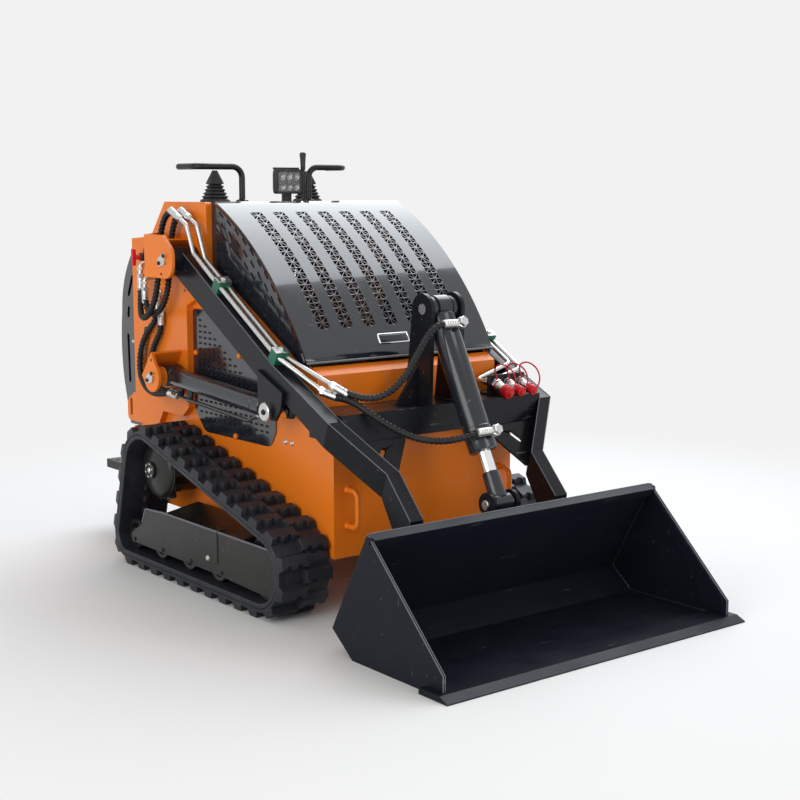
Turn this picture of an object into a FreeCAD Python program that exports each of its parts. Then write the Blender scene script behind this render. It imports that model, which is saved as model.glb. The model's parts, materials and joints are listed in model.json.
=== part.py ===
import FreeCAD, Part
import math
import os

# Compact stand-on track loader: tub with rubber tracks, radial lift arms, hydraulic cylinders and bucket.
# Millimetres. +X is forward, +Y is the machine's left, +Z is up, and the tracks stand on z = 0.
# Sub-parts that come in pairs are drawn on the left side and mirrored to the right.

V = FreeCAD.Vector

# Overall sizes
BUCKET_HALF = 530.0          # outer face of the bucket's side plates
BODY_HALF = 338.0            # outer face of the tub's side walls
TRACK_GAP = 8.0              # between a side wall and its track
TRACK_INNER = BODY_HALF + TRACK_GAP
TRACK_WIDTH = 178.0
TOWER_THICK = 22.0           # plates that carry the arms
TOWER_OUTER = BODY_HALF + TOWER_THICK
CHEEK_THICK = 4.0            # perforated panels and cheeks
WALL = 8.0                   # tub sheet
RUNNING = 0.05               # radial clearance of a pin in its bore
SEAT = 0.3                   # gap at a seat that may turn or slide
BEND_SHARE = 0.45            # part of a hose's shorter run that its bend takes

# Tub
BOX_FRONT = 340.0            # face of the front box
BOX_BACK = 262.0             # front of the engine bay, above the box's shelf
BOX_SHELF = 500.0
BELLY = 170.0
TUB_REAR = -790.0
BAY_TOP = 690.0
DECK_TOP = 1178.0
DECK_THICK = 6.0
DECK_FRONT = -300.0          # where the walls' high part starts
DECK_BACK = -560.0           # rear edge of the flat deck
SHELF = (-656.0, 1054.0)     # front edge of the low shelf behind the sloping panel
SHELF_REAR = 1044.0
TAIL = 330.0                 # height of the tub's rear lower corner
BELLY_REAR = -700.0
SKIRT = (-864.0, 398.0)      # upper edge of the rear skirt
BAY_LIP = (230.0, 712.0)     # folded edge under the hood's foot

# Hood: an arc through three points, over the engine bay
HOOD_OVERHANG = 16.0
HOOD_HALF = BODY_HALF + HOOD_OVERHANG
HOOD_THICK = 4.0
HOOD_TOP = (-254.0, 1180.0)
HOOD_MIDDLE = (76.0, 942.0)
HOOD_FOOT = (235.0, 724.0)
HOOD_HINGE = (-300.0, 1160.0)
HINGE_Y = 250.0              # hinge arms each side of the middle
HINGE_PIN_R = 5.0
HINGE_EYE_R = 9.0
HINGE_ARM = 10.0
HINGE_ARM_SPAN = 3.5         # degrees of the hood's arc that an arm is welded to
DECK_GAP = 9.0               # seam between hood and deck

# Lift arms
ARM_PIVOT = (-380.0, 1001.0)
ARM_GAP = 15.0               # between a tower plate and its arm
ARM_INNER = TOWER_OUTER + ARM_GAP
ARM_WIDTH = 45.0
ARM_OUTER = ARM_INNER + ARM_WIDTH
BRACKET_OUTER = ARM_OUTER + 50.0      # outer face of the arm and cylinder brackets
PIVOT_PIN_R = 20.0
HUB_R = 42.0
LEG_STEP = 125.0             # how far the legs below the cross-member stand inside the arms
LEG_INNER = ARM_INNER - LEG_STEP
CROSS_FRONT = 430.0
CROSS_BACK = 274.0
CROSS_TOP = 600.0
CROSS_BOTTOM = 520.0
BUCKET_PIN = (590.0, 195.0)
BUCKET_PIN_R = 18.0

# Cylinders
LIFT_BASE = (-474.0, 624.0)
LIFT_EYE = (145.0, 583.0)
LIFT_BARREL_R = 30.0
LIFT_Y = ARM_INNER + ARM_WIDTH / 2
LIFT_HEAD = ARM_WIDTH + 14   # width of the barrel's base eye
LIFT_ROD_R = 16.0
LIFT_EYE_R = 26.0
LIFT_HEAD_R = 34.0
TILT_TOWER_PIN = (395.0, 877.0)
TILT_EYE = (668.0, 347.0)
TILT_BARREL_R = 40.0
LIFT_ROD_SHOWN = 60.0        # from a barrel's end to the eye of its rod
TILT_ROD_SHOWN = 151.0
TILT_ROD_R = 20.0
TILT_EYE_R = 26.0
TILT_HEAD_R = 38.0
CYLINDER_PIN_R = 16.0

# Bucket: corners of its side plates, and the line of its back plate
RIM = (753.0, 350.0)
BACK_FOOT = (598.0, 67.0)
HEEL = (687.0, 0.0)
LIP_TOP = (1057.0, 57.0)
CUTTING_EDGE = 1100.0
EDGE_DEPTH = 110.0
EDGE_THICK = 16.0
EDGE_OVERHANG = 22.0
BUCKET_SHEET = 8.0
RIM_BAR = 26.0

# Tracks: the belt runs round three wheels
BELT_THICK = 25.0
LUG_HEIGHT = 20.0
LUG_PITCH = 84.0
SPROCKET = (-462.0, 325.0, 128.0)      # x, z and radius to the belt's outer face
REAR_ROLLER_R = 75.0
REAR_ROLLER_X = -575.0
IDLER_R = 120.0
IDLER_X = 212.0
ROLLER_R = 50.0
AXLE_R = 14.0
ROLLER_XS = (-405.0, -230.0, -55.0)
FRAME_OUTER = TRACK_INNER + 156.0
FRAME_PLATE = 8.0

# Standing platform
PLATFORM_REAR = -1100.0
PLATFORM_FRONT = -800.0
PLATFORM_HALF = BODY_HALF - 18.0
PLATFORM_TOP = 250.0
PLATFORM_THICK = 30.0

SIDES = (("left", 1), ("right", -1))


def point3(axis, level, a, b):
    """The 3-D point of a flat drawing's (a, b), on the plane across axis at level."""
    if axis == "y":
        return V(a, level, b)
    if axis == "x":
        return V(level, a, b)
    return V(a, b, level)


def outline_face(points, axis, level):
    """A face from corners (a, b) or (a, b, fillet radius), in the plane across axis."""
    count = len(points)
    starts, ends, middles = [], [], []
    for i, corner in enumerate(points):
        here = V(corner[0], corner[1], 0)
        before = V(points[i - 1][0], points[i - 1][1], 0)
        after = V(points[(i + 1) % count][0], points[(i + 1) % count][1], 0)
        radius = corner[2] if len(corner) > 2 else 0
        if not radius:
            starts.append(here)
            ends.append(here)
            middles.append(None)
            continue
        to_before = (before - here).normalize()
        to_after = (after - here).normalize()
        half = to_before.getAngle(to_after) / 2
        reach = radius / math.tan(half)
        inward = (to_before + to_after).normalize()
        starts.append(here + to_before * reach)
        ends.append(here + to_after * reach)
        middles.append(here + inward * (radius / math.sin(half) - radius))
    edges = []
    for i in range(count):
        start, end = starts[i], ends[i]
        if middles[i]:
            arc = [point3(axis, level, p.x, p.y) for p in (start, middles[i], end)]
            edges.append(Part.Arc(*arc).toShape())
        following = starts[(i + 1) % count]
        if (following - end).Length > 1e-6:
            line = [point3(axis, level, p.x, p.y) for p in (end, following)]
            edges.append(Part.makeLine(*line))
    return Part.Face(Part.Wire(edges))


def prism(points, axis, low, high):
    """The outline, extruded along axis from low to high."""
    return outline_face(points, axis, low).extrude(point3(axis, high - low, 0, 0))


def box(x0, x1, y0, y1, z0, z1):
    return Part.makeBox(x1 - x0, y1 - y0, z1 - z0, V(x0, y0, z0))


def bar_y(centre, radius, y0, y1):
    """A round bar across the machine, about the point centre = (x, z)."""
    return Part.makeCylinder(radius, y1 - y0, V(centre[0], y0, centre[1]), V(0, 1, 0))


def bar(start, end, radius):
    along = end - start
    return Part.makeCylinder(radius, along.Length, start, along)


def mirrored(shape):
    return shape.mirror(V(0, 0, 0), V(0, 1, 0))


def on_side(shape, sign):
    """The left-hand shape, or its mirror image on the right."""
    return shape if sign > 0 else mirrored(shape)


def both(shape):
    return Part.makeCompound([shape, mirrored(shape)])


def fused(shapes):
    first, rest = shapes[0], shapes[1:]
    return first.fuse(rest).removeSplitter() if rest else first


def sheet(path, thickness, y0, y1):
    """A bent sheet: its profile is the path, thickened to the left of its direction."""
    inner = []
    for i, (x, z) in enumerate(path):
        normals = []
        for a, b in ((i - 1, i), (i, i + 1)):
            if a < 0 or b >= len(path):
                continue
            run = V(path[b][0] - path[a][0], path[b][1] - path[a][1], 0).normalize()
            normals.append(V(-run.y, run.x, 0))
        bisector = (normals[0] + normals[-1]).normalize()
        reach = thickness / bisector.dot(normals[0])
        inner.append((x + bisector.x * reach, z + bisector.y * reach))
    return prism(list(path) + inner[::-1], "y", y0, y1)


def pipe(points, radius, bend=None, sides=10):
    """A bar of flat sides along straight runs joined by arcs: of the radius bend, or as large as they fit."""
    points = [V(*p) for p in points]
    run = points[1] - points[0]
    section = ring_face(points[0], run, radius, sides)
    pieces = []
    at = points[0]
    for before, corner, after in zip(points, points[1:], points[2:]):
        to_before, to_after = before - corner, after - corner
        shorter = min(to_before.Length, to_after.Length)
        to_before.normalize()
        to_after.normalize()
        half = to_before.getAngle(to_after) / 2
        reach = BEND_SHARE * shorter if bend is None else bend / math.tan(half)
        inward = (to_before + to_after).normalize()
        start, end = corner + to_before * reach, corner + to_after * reach
        centre = corner + inward * (reach / math.cos(half))
        axis = to_after.cross(to_before)
        turn = 180 - math.degrees(2 * half)
        pieces.append(section.extrude(start - at))
        section.translate(start - at)
        pieces.append(section.revolve(centre, axis, turn))
        section.rotate(centre, axis, turn)
        at = end
    pieces.append(section.extrude(points[-1] - at))
    return fused(pieces)


def ring_face(centre, along, radius, sides):
    """A regular polygon across the direction along, as large in area as the round section."""
    along = V(along).normalize()
    across = along.cross(V(0, 0, 1) if abs(along.z) < 0.9 else V(1, 0, 0)).normalize()
    aside = along.cross(across)
    step = 2 * math.pi / sides
    corner_r = radius * math.sqrt(step / math.sin(step))
    corners = []
    for i in range(sides):
        angle = (i + 0.5) * step
        corners.append(centre + across * (corner_r * math.cos(angle)) + aside * (corner_r * math.sin(angle)))
    return Part.Face(Part.makePolygon(corners + [corners[0]]))


def slot(axis, low, high, centre, length, width, angle=0.0):
    """A round-ended cutter through a sheet across axis, at angle degrees from the first direction."""
    along = V(math.cos(math.radians(angle)), math.sin(math.radians(angle)), 0)
    aside = V(-along.y, along.x, 0) * (width / 2)
    centre = V(centre[0], centre[1], 0)
    reach = along * ((length - width) / 2)
    tip = along * (length / 2)
    a, b = centre - reach, centre + reach
    corners = [a - aside, b - aside, centre + tip, b + aside, a + aside, centre - tip]
    p = [point3(axis, low, c.x, c.y) for c in corners]
    edges = [Part.makeLine(p[0], p[1]), Part.Arc(p[1], p[2], p[3]).toShape(),
             Part.makeLine(p[3], p[4]), Part.Arc(p[4], p[5], p[0]).toShape()]
    return Part.Face(Part.Wire(edges)).extrude(point3(axis, high - low, 0, 0))


def block(first, last):
    """A solid with flat faces between two four-cornered ends."""
    rings = [[V(*p) for p in ring] for ring in (first, last)]
    quads = [rings[0][::-1], rings[1]]
    for i in range(4):
        j = (i + 1) % 4
        quads.append([rings[0][i], rings[0][j], rings[1][j], rings[1][i]])
    faces = [Part.Face(Part.makePolygon(q + [q[0]])) for q in quads]
    solid = Part.Solid(Part.Shell(faces))
    if solid.Volume < 0:
        solid.reverse()
    return solid


def along_line(start, end, distance, aside=0.0):
    """The point at a distance from start towards end, moved aside to the left of that line."""
    run = V(end[0] - start[0], end[1] - start[1], 0).normalize()
    return (start[0] + run.x * distance - run.y * aside, start[1] + run.y * distance + run.x * aside)


def behind_bucket(up, off):
    """A point up the slope of the bucket's back plate, and off behind it."""
    return along_line(BACK_FOOT, RIM, up, off)


def length_of(start, end):
    return math.hypot(end[0] - start[0], end[1] - start[1])


# Tub and body panels

SIDE_WALL_CORNERS = [
    (BOX_FRONT, BELLY), (BOX_FRONT, BOX_SHELF), (BOX_BACK, BOX_SHELF), (BOX_BACK, BAY_TOP),
    (DECK_FRONT, 1010.0), (DECK_FRONT, DECK_TOP - DECK_THICK), (DECK_BACK, DECK_TOP - DECK_THICK), SHELF,
    (TUB_REAR, SHELF_REAR), (TUB_REAR, TAIL), (BELLY_REAR, BELLY)]
GRILLE_CORNERS = [(-425.0, 840.0, 10), (-425.0, 520.0, 60), (-360.0, 450.0, 40), (20.0, 452.0, 40),
                  (50.0, 500.0, 30), (50.0, 660.0, 10), (-180.0, 840.0, 10)]
GRILLE_WINDOWS = ((-400.0, -215.0, 500.0, 700.0), (-185.0, 20.0, 500.0, 640.0))


def side_wall():
    wall = prism(SIDE_WALL_CORNERS, "y", BODY_HALF - WALL, BODY_HALF)
    for x0, x1, z0, z1 in GRILLE_WINDOWS:
        wall = wall.cut(box(x0, x1, BODY_HALF - WALL - 1, BODY_HALF + 1, z0, z1))
    return wall


def front_and_belly():
    """The bent sheet between the side walls: rear skirt, belly, front box, shelf and bay front."""
    path = [SKIRT, (TUB_REAR, TAIL), (BELLY_REAR, BELLY), (BOX_FRONT, BELLY), (BOX_FRONT, BOX_SHELF),
            (BOX_BACK, BOX_SHELF), (BOX_BACK, BAY_TOP), BAY_LIP]
    half = BODY_HALF - WALL
    return sheet(path, WALL, -half, half)


def perforated(sheet_face, slots, axis, level, thickness):
    """A flat sheet with oblong slots, each (centre, length, width, angle in degrees)."""
    holes = []
    for centre, length, width, angle in slots:
        c, s = math.cos(math.radians(angle)), math.sin(math.radians(angle))
        corners = []
        l, w = length / 2, width / 2
        for a, b in ((-l, -w), (l, -w), (l, w), (-l, w)):
            corners.append(point3(axis, level, centre[0] + a * c - b * s, centre[1] + a * s + b * c))
        holes.append(Part.Face(Part.makePolygon(corners + [corners[0]])))
    return sheet_face.cut(Part.makeCompound(holes)).extrude(point3(axis, thickness, 0, 0))


GRILLE_PITCH = (22.5, 22.5)
GRILLE_SLOT = (11.0, 5.0)
GRILLE_ROWS = [  # height of a row's slots, x of its first slot and how many there are
    (816.0 - GRILLE_PITCH[1] * row, -404.0, min(2 + row, 7)) for row in range(7)]
GRILLE_LOW_ROWS = [(560.0 - GRILLE_PITCH[1] * row, -330.0, 15) for row in range(3)]


def side_grilles():
    """Perforated panels over the windows of the engine bay."""
    face = outline_face(GRILLE_CORNERS, "y", BODY_HALF)
    slots = []
    for z, x0, count in GRILLE_ROWS + GRILLE_LOW_ROWS:
        for i in range(count):
            slots.append(((x0 + GRILLE_PITCH[0] * i, z), *GRILLE_SLOT, 0.0))
    return both(perforated(face, slots, "y", BODY_HALF, CHEEK_THICK))


def hood_arc(inset):
    """The arc of the hood, moved inwards: its start, middle and end points and its centre."""
    arc = Part.Arc(*[V(x, 0, z) for x, z in (HOOD_TOP, HOOD_MIDDLE, HOOD_FOOT)]).toShape()
    centre = arc.Curve.Center
    points = []
    for x, z in (HOOD_TOP, HOOD_MIDDLE, HOOD_FOOT):
        out = (V(x, 0, z) - centre).normalize()
        points.append(V(x, 0, z) - out * inset)
    return points, centre


CHEEK_FRONT = (228.0, 694.0)
CHEEK_REAR = (-296.0, 985.0)
CHEEK_GAP = 5.0              # between a cheek's upper edge and the hood
CHEEK_SLOT = (30.0, 8.0, 28.0)        # length, width and rise in degrees
CHEEK_PITCH = 44.0


def side_cheeks():
    """Dark cheeks below the hood's edges, on the outer faces of the side walls, with staggered slots."""
    (top, middle, foot), centre = hood_arc(HOOD_THICK + CHEEK_GAP)
    level = V(0, BODY_HALF, 0)
    front, rear = [V(x, BODY_HALF, z) for x, z in (CHEEK_FRONT, CHEEK_REAR)]
    corner = V(rear.x, BODY_HALF, top.z)
    edges = [Part.Arc(top + level, middle + level, foot + level).toShape(),
             Part.makeLine(foot + level, front),
             Part.makeLine(front, rear), Part.makeLine(rear, corner), Part.makeLine(corner, top + level)]
    run, rise = front.x - rear.x, front.z - rear.z
    outer = (middle - centre).Length
    slots = []
    for row in range(6):
        for i in range(12):
            x = rear.x + 24.0 + CHEEK_PITCH * (i + 0.5 * (row % 2))
            z = rear.z + rise * (x - rear.x) / run + 26.0 + 30.0 * row
            inside = outer - math.hypot(x - centre.x, z - centre.z)
            if inside > 24.0 and x < front.x - 20.0:
                slots.append(((x, z), *CHEEK_SLOT))
    return both(perforated(Part.Face(Part.Wire(edges)), slots, "y", BODY_HALF, CHEEK_THICK))


def control_deck():
    """The top behind the hood: a flat deck, a sloping panel and a shelf."""
    front = HOOD_TOP[0] - DECK_GAP
    under = DECK_TOP - DECK_THICK
    path = [(front, under), (DECK_BACK, under), SHELF, (TUB_REAR, SHELF_REAR)]
    deck = sheet(path, -DECK_THICK, -BODY_HALF, BODY_HALF)
    x, z = HOOD_HINGE
    slack = HINGE_ARM / 2 + DECK_THICK
    r = HINGE_EYE_R
    for sign in (1, -1):
        notch = box(x - r - 7, front + 1, HINGE_Y - slack, HINGE_Y + slack, z, DECK_TOP + 1)
        lug = box(x - r, x + r, HINGE_Y + slack, HINGE_Y + slack + DECK_THICK, z - r, under)
        pin = bar_y(HOOD_HINGE, HINGE_PIN_R, HINGE_Y - slack, HINGE_Y + slack)
        deck = fused([deck.cut(on_side(notch, sign)), on_side(lug, sign), on_side(pin, sign)])
    return deck


COVER_TOP = (-791.0, 1040.0)
COVER_CROWN = (-884.0, 930.0)
COVER_BULGE = (-915.0, 800.0)
COVER_BACK = (-924.0, 680.0)
COVER_LOW = (-912.0, 560.0)
COVER_FOOT = (-872.0, 412.0)
COVER_WALL = 6.0


def cover_section(level, inset):
    """Side view of the cover, moved forwards by inset."""
    top, crown, bulge, back, low, foot = [V(x + inset, level, z) for x, z in (
        COVER_TOP, COVER_CROWN, COVER_BULGE, COVER_BACK, COVER_LOW, COVER_FOOT)]
    foot_front, top_front = [V(TUB_REAR + inset, level, p.z) for p in (foot, top)]
    return Part.Face(Part.Wire([
        Part.Arc(top, crown, bulge).toShape(), Part.Arc(bulge, back, low).toShape(),
        Part.makeLine(low, foot), Part.makeLine(foot, foot_front), Part.makeLine(foot_front, top_front),
        Part.makeLine(top_front, top)]))


def rear_cover():
    """The bulged cover behind the body: an open shell with slotted sides."""
    inside = BODY_HALF - CHEEK_THICK
    solid = cover_section(-BODY_HALF, 0).extrude(V(0, 2 * BODY_HALF, 0))
    hollow = cover_section(-inside, COVER_WALL).extrude(V(0, 2 * inside, 0))
    cover = solid.cut(hollow)
    for centre, length, angle in (((-850.0, 890.0), 80.0, 65.0), ((-868.0, 800.0), 40.0, 80.0),
                                  ((-872.0, 640.0), 170.0, 92.0)):
        cover = cover.cut(slot("y", -BODY_HALF - 1, BODY_HALF + 1, centre, length, 16.0, angle))
    return cover


ENGINE = (-380.0, 180.0, 230.0, 640.0)               # rear, front, half width and top


def engine_block():
    """Engine and pumps, as one plain block at their place and size."""
    rear, front, half, top = ENGINE
    return box(rear, front, -half, half, BELLY + WALL, top)


# Loader towers: the plates and brackets that carry arms and lift cylinders

TOWER_CORNERS = [
    (TUB_REAR, SHELF[1]), (SHELF[0], SHELF[1] + 10), (DECK_BACK, DECK_TOP), (DECK_FRONT, DECK_TOP, 12),
    (DECK_FRONT, 905.0), (-432.0, 850.0), (-432.0, 520.0), (-470.0, 488.0), (-600.0, 488.0), (-640.0, 430.0),
    (TUB_REAR, 430.0)]
BRACKET_PLATE = 10.0
KEEPER_THICK = 8.0
PIVOT_NOSE = 56.0            # from the pivot to the bracket's front edge
PIVOT_TOP = 76.0
PIVOT_SOLE = 58.0            # from the pivot down to the bracket's lower edge
PIVOT_WALL = 6.0
PIVOT_WALL_TOP = (-14.0, 64.0)        # top edge of the wall behind the hub, from the pivot
PIVOT_WALL_BACK = 66.0       # from the pivot back to that wall
PIVOT_WALL_KNEE = 24.0       # the wall's bend, above the pivot
PIVOT_NOSE_TOP = 30.0
PIVOT_BEND = -500.0          # where the bracket's outer plate turns inwards
PIVOT_REAR = -620.0
BASE_NOSE_R = 48.0
BASE_TIP = (2.0, 80.0)       # tip of the base bracket, from its pin
BASE_HEEL = 62.0             # from the pin back to the wall's foot
BASE_WALL = 8.0


def tower_plate():
    return prism(TOWER_CORNERS, "y", BODY_HALF, TOWER_OUTER)


def pivot_bracket():
    """Outer plate round the arm's pivot, its flank back to the tower plate and the wall behind the hub."""
    x, z = ARM_PIVOT
    face = BRACKET_OUTER - BRACKET_PLATE
    top, low = z + PIVOT_TOP, z - PIVOT_SOLE
    plate = prism([(PIVOT_BEND, low), (x + PIVOT_NOSE, low, 46), (x + PIVOT_NOSE, z + PIVOT_NOSE_TOP, 34),
                   (x, top), (PIVOT_BEND, top)], "y", face, BRACKET_OUTER)
    flank = prism([(PIVOT_BEND, face), (PIVOT_BEND, BRACKET_OUTER), (PIVOT_REAR, TOWER_OUTER),
                   (PIVOT_REAR + BRACKET_PLATE, TOWER_OUTER)], "z", low, top)
    wall = sheet([(x + PIVOT_WALL_TOP[0], z + PIVOT_WALL_TOP[1]), (x - PIVOT_WALL_BACK, z + PIVOT_WALL_KNEE),
                  (x - PIVOT_WALL_BACK, low)], PIVOT_WALL, TOWER_OUTER, face)
    return [plate, flank, wall]


def base_bracket():
    """Outer plate round the lift cylinder's base pin, the wall behind it and the boss."""
    x, z = LIFT_BASE
    face = BRACKET_OUTER - BRACKET_PLATE
    tip = (x + BASE_TIP[0], z + BASE_TIP[1])
    heel = (x - BASE_HEEL, z)
    plate = prism([heel, (x - 38, z - 28), (x + 38, z - 28), (x + BASE_NOSE_R, z), tip], "y", face,
                  BRACKET_OUTER)
    nose = bar_y(LIFT_BASE, BASE_NOSE_R, face, BRACKET_OUTER)
    wall = sheet([tip, heel], BASE_WALL, TOWER_OUTER, face)
    boss = bar_y(LIFT_BASE, 32.0, LIFT_Y + LIFT_HEAD / 2 + 2, face)
    return [plate, nose, wall, boss]


def loader_tower():
    tower = fused([tower_plate()] + pivot_bracket() + base_bracket())
    for centre, radius in ((ARM_PIVOT, PIVOT_PIN_R), (LIFT_BASE, CYLINDER_PIN_R)):
        tower = tower.cut(bar_y(centre, radius + RUNNING, BODY_HALF - 1, BRACKET_OUTER + 1))
    return tower


def chassis_pins():
    """Arm pivot pins and lift cylinder base pins, each with its keeper plate outside."""
    pins = []
    for centre, radius in ((ARM_PIVOT, PIVOT_PIN_R), (LIFT_BASE, CYLINDER_PIN_R)):
        pin = bar_y(centre, radius, BODY_HALF + 0.5, BRACKET_OUTER)
        x, z = centre
        corners = [(x - 24, z - 22, 6), (x + 18, z - 16, 12), (x + 22, z + 24, 12), (x - 20, z + 4, 6)]
        keeper = prism(corners, "y", BRACKET_OUTER, BRACKET_OUTER + KEEPER_THICK)
        pins.append(pin.fuse(keeper))
    left = Part.makeCompound(pins)
    return both(left)


# Undercarriage

def circle_tangents(first, second):
    """Points where the outer belt line touches two wheels (x, z, radius), on the left going on."""
    x0, z0, r0 = first
    x1, z1, r1 = second
    span = math.hypot(x1 - x0, z1 - z0)
    heading = math.atan2(z1 - z0, x1 - x0)
    lean = math.acos((r0 - r1) / span)
    angle = heading + lean
    return ((x0 + r0 * math.cos(angle), z0 + r0 * math.sin(angle)),
            (x1 + r1 * math.cos(angle), z1 + r1 * math.sin(angle)))


def belt_wheels():
    """Idler, rear roller and sprocket, clockwise as seen from the left, with the belt's outer radius."""
    idler = (IDLER_X, IDLER_R + LUG_HEIGHT, IDLER_R)
    rear = (REAR_ROLLER_X, REAR_ROLLER_R + LUG_HEIGHT, REAR_ROLLER_R)
    return [SPROCKET, idler, rear]


def belt_runs():
    """Straight runs of the belt's outer line, each as (start, end), and the wheel after each."""
    wheels = belt_wheels()
    runs = []
    for i, wheel in enumerate(wheels):
        following = wheels[(i + 1) % len(wheels)]
        start, end = circle_tangents(wheel, following)
        runs.append((start, end, following))
    return runs


def belt_face(inset, level):
    """The loop of the belt, moved inwards by inset."""
    wheels = [(x, z, r - inset) for x, z, r in belt_wheels()]
    edges = []
    count = len(wheels)
    spans = [circle_tangents(wheels[i], wheels[(i + 1) % count]) for i in range(count)]
    for i in range(count):
        start, end = spans[i]
        nxt = spans[(i + 1) % count][0]
        x, z, r = wheels[(i + 1) % count]
        edges.append(Part.makeLine(V(start[0], level, start[1]), V(end[0], level, end[1])))
        a0 = math.atan2(end[1] - z, end[0] - x)
        a1 = math.atan2(nxt[1] - z, nxt[0] - x)
        while a1 > a0:
            a1 -= 2 * math.pi
        mid = (a0 + a1) / 2
        halfway = V(x + r * math.cos(mid), level, z + r * math.sin(mid))
        edges.append(Part.Arc(V(end[0], level, end[1]), halfway,
                              V(nxt[0], level, nxt[1])).toShape())
    return Part.Face(Part.Wire(edges))


def belt_stations():
    """Evenly spaced places round the belt, each as (x, z, outward angle, radius of a curved stretch)."""
    runs = belt_runs()
    pieces = []
    for i, (start, end, wheel) in enumerate(runs):
        nxt = runs[(i + 1) % len(runs)][0]
        heading = math.atan2(end[1] - start[1], end[0] - start[0])
        pieces.append(("line", start, heading, length_of(start, end), wheel))
        x, z, r = wheel
        a0 = math.atan2(end[1] - z, end[0] - x)
        a1 = math.atan2(nxt[1] - z, nxt[0] - x)
        while a1 > a0:
            a1 -= 2 * math.pi
        pieces.append(("arc", (x, z), a0, r * (a0 - a1), wheel))
    total = sum(p[3] for p in pieces)
    count = round(total / LUG_PITCH)
    pitch = total / count
    stations = []
    for n in range(2 * count):
        at = (n + 0.5) * pitch / 2
        for kind, origin, angle, length, wheel in pieces:
            if at > length:
                at -= length
                continue
            if kind == "line":
                x = origin[0] + at * math.cos(angle)
                z = origin[1] + at * math.sin(angle)
                out = angle + math.pi / 2
            else:
                out = angle - at / wheel[2]
                x = origin[0] + wheel[2] * math.cos(out)
                z = origin[1] + wheel[2] * math.sin(out)
            stations.append((x, z, out, wheel[2] if kind == "arc" else None))
            break
    return stations


def track_belt():
    """Rubber belt with two staggered rows of lugs."""
    loop = belt_face(0, TRACK_INNER).cut(belt_face(BELT_THICK, TRACK_INNER))
    belt = loop.extrude(V(0, TRACK_WIDTH, 0))
    row = TRACK_WIDTH / 2
    lugs = []
    foot, tip, sunk = 25.0, 16.0, 7.0
    for n, (x, z, out, radius) in enumerate(belt_stations()):
        y0 = TRACK_INNER + (n % 2) * (row - 8)
        height = math.sqrt((radius + LUG_HEIGHT) ** 2 - tip ** 2) - radius if radius else LUG_HEIGHT
        profile = [(-sunk, -foot), (height, -tip), (height, tip), (-sunk, foot)]
        c, s = math.cos(out), math.sin(out)
        corners = [(x + c * a - s * b, z + s * a + c * b) for a, b in profile]
        lugs.append(prism(corners, "y", y0, y0 + row + 8))
    return belt.fuse(lugs)


def track_wheels():
    """Idler, rear roller and bottom rollers of one track, each with its axle."""
    y0, y1 = TRACK_INNER + 25, TRACK_INNER + TRACK_WIDTH - 38
    floor = LUG_HEIGHT + BELT_THICK
    wheels = []
    places = [(IDLER_X, IDLER_R + LUG_HEIGHT, IDLER_R - BELT_THICK - SEAT),
              (REAR_ROLLER_X, REAR_ROLLER_R + LUG_HEIGHT, REAR_ROLLER_R - BELT_THICK - SEAT)]
    places += [(x, floor + ROLLER_R + SEAT, ROLLER_R) for x in ROLLER_XS]
    for x, z, r in places:
        rim = wheel_disc((x, z), r, y0, y1, 20)
        axle = wheel_disc((x, z), AXLE_R, BODY_HALF, FRAME_OUTER - FRAME_PLATE, 8)
        wheels.append(rim.fuse(axle))
    return wheels


def wheel_disc(centre, radius, y0, y1, sides):
    """A disc with flat sides inside its radius, across the machine."""
    inside = radius * math.sqrt(math.sin(2 * math.pi / sides) / (2 * math.pi / sides))
    return ring_face(V(centre[0], y0, centre[1]), V(0, 1, 0), inside, sides).extrude(V(0, y1 - y0, 0))


SPROCKET_TEETH = 11
SPROCKET_THICK = 24.0
TOOTH = 24.0                 # height of a tooth
MOTOR_R = 80.0
DOME_R = (90.0, 62.0)
DOME_DEPTH = 26.0
SPROCKET_HUB = (22.0, 56.0)  # radius, and reach from the disc's middle


def drive_sprocket():
    """Toothed sprocket, its motor's dome and hub, and the motor behind it."""
    x, z, r = SPROCKET
    tip = r - BELT_THICK - SEAT
    middle = TRACK_INNER + TRACK_WIDTH / 2
    face, back = middle + SPROCKET_THICK / 2, middle - SPROCKET_THICK / 2
    outline = []
    for i in range(SPROCKET_TEETH):
        for distance, turn in ((tip - TOOTH, -0.36), (tip, -0.17), (tip, 0.17), (tip - TOOTH, 0.36)):
            angle = 2 * math.pi * (i + turn) / SPROCKET_TEETH
            outline.append((x + distance * math.cos(angle), z + distance * math.sin(angle)))
    disc = prism(outline, "y", back, face)
    dome = Part.makeCone(*DOME_R, DOME_DEPTH, V(x, face, z), V(0, 1, 0))
    hub = wheel_disc((x, z), SPROCKET_HUB[0], face, middle + SPROCKET_HUB[1], 12)
    motor = wheel_disc((x, z), MOTOR_R, BODY_HALF, back, 16)
    return fused([disc, dome, hub, motor])


FRAME_CORNERS = [(-578.0, 98.0, 8), (-505.0, 142.0), (-478.0, 196.0, 6), (-362.0, 204.0), (271.0, 204.0, 10),
                 (290.0, 98.0, 30), (262.0, 64.0, 12), (-46.0, 74.0), (-569.0, 74.0, 8)]


FRAME_TOP = (204.0, -358.0, 100.0)    # height of the cover's upper edge, and ends of the plate behind it
FRAME_CROSS_XS = (-310.0, 60.0)
FRAME_CROSS = (60.0, 158.0, 206.0)    # width, bottom and top of a cross tube


def track_frame():
    """Track frame: side cover, the sloping plate behind it and two cross tubes to the tub."""
    inside = FRAME_OUTER - FRAME_PLATE
    cover = prism(FRAME_CORNERS, "y", inside, FRAME_OUTER)
    level, rear, front = FRAME_TOP
    inner = TRACK_INNER + 30
    top = prism([(inside, level), (inside, level - 14), (inner, level + 10), (inner, level + 22)], "x", rear,
                front)
    width, low, high = FRAME_CROSS
    cross = [box(x - width / 2, x + width / 2, BODY_HALF, inside, low, high) for x in FRAME_CROSS_XS]
    return fused([cover, top] + cross)


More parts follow.
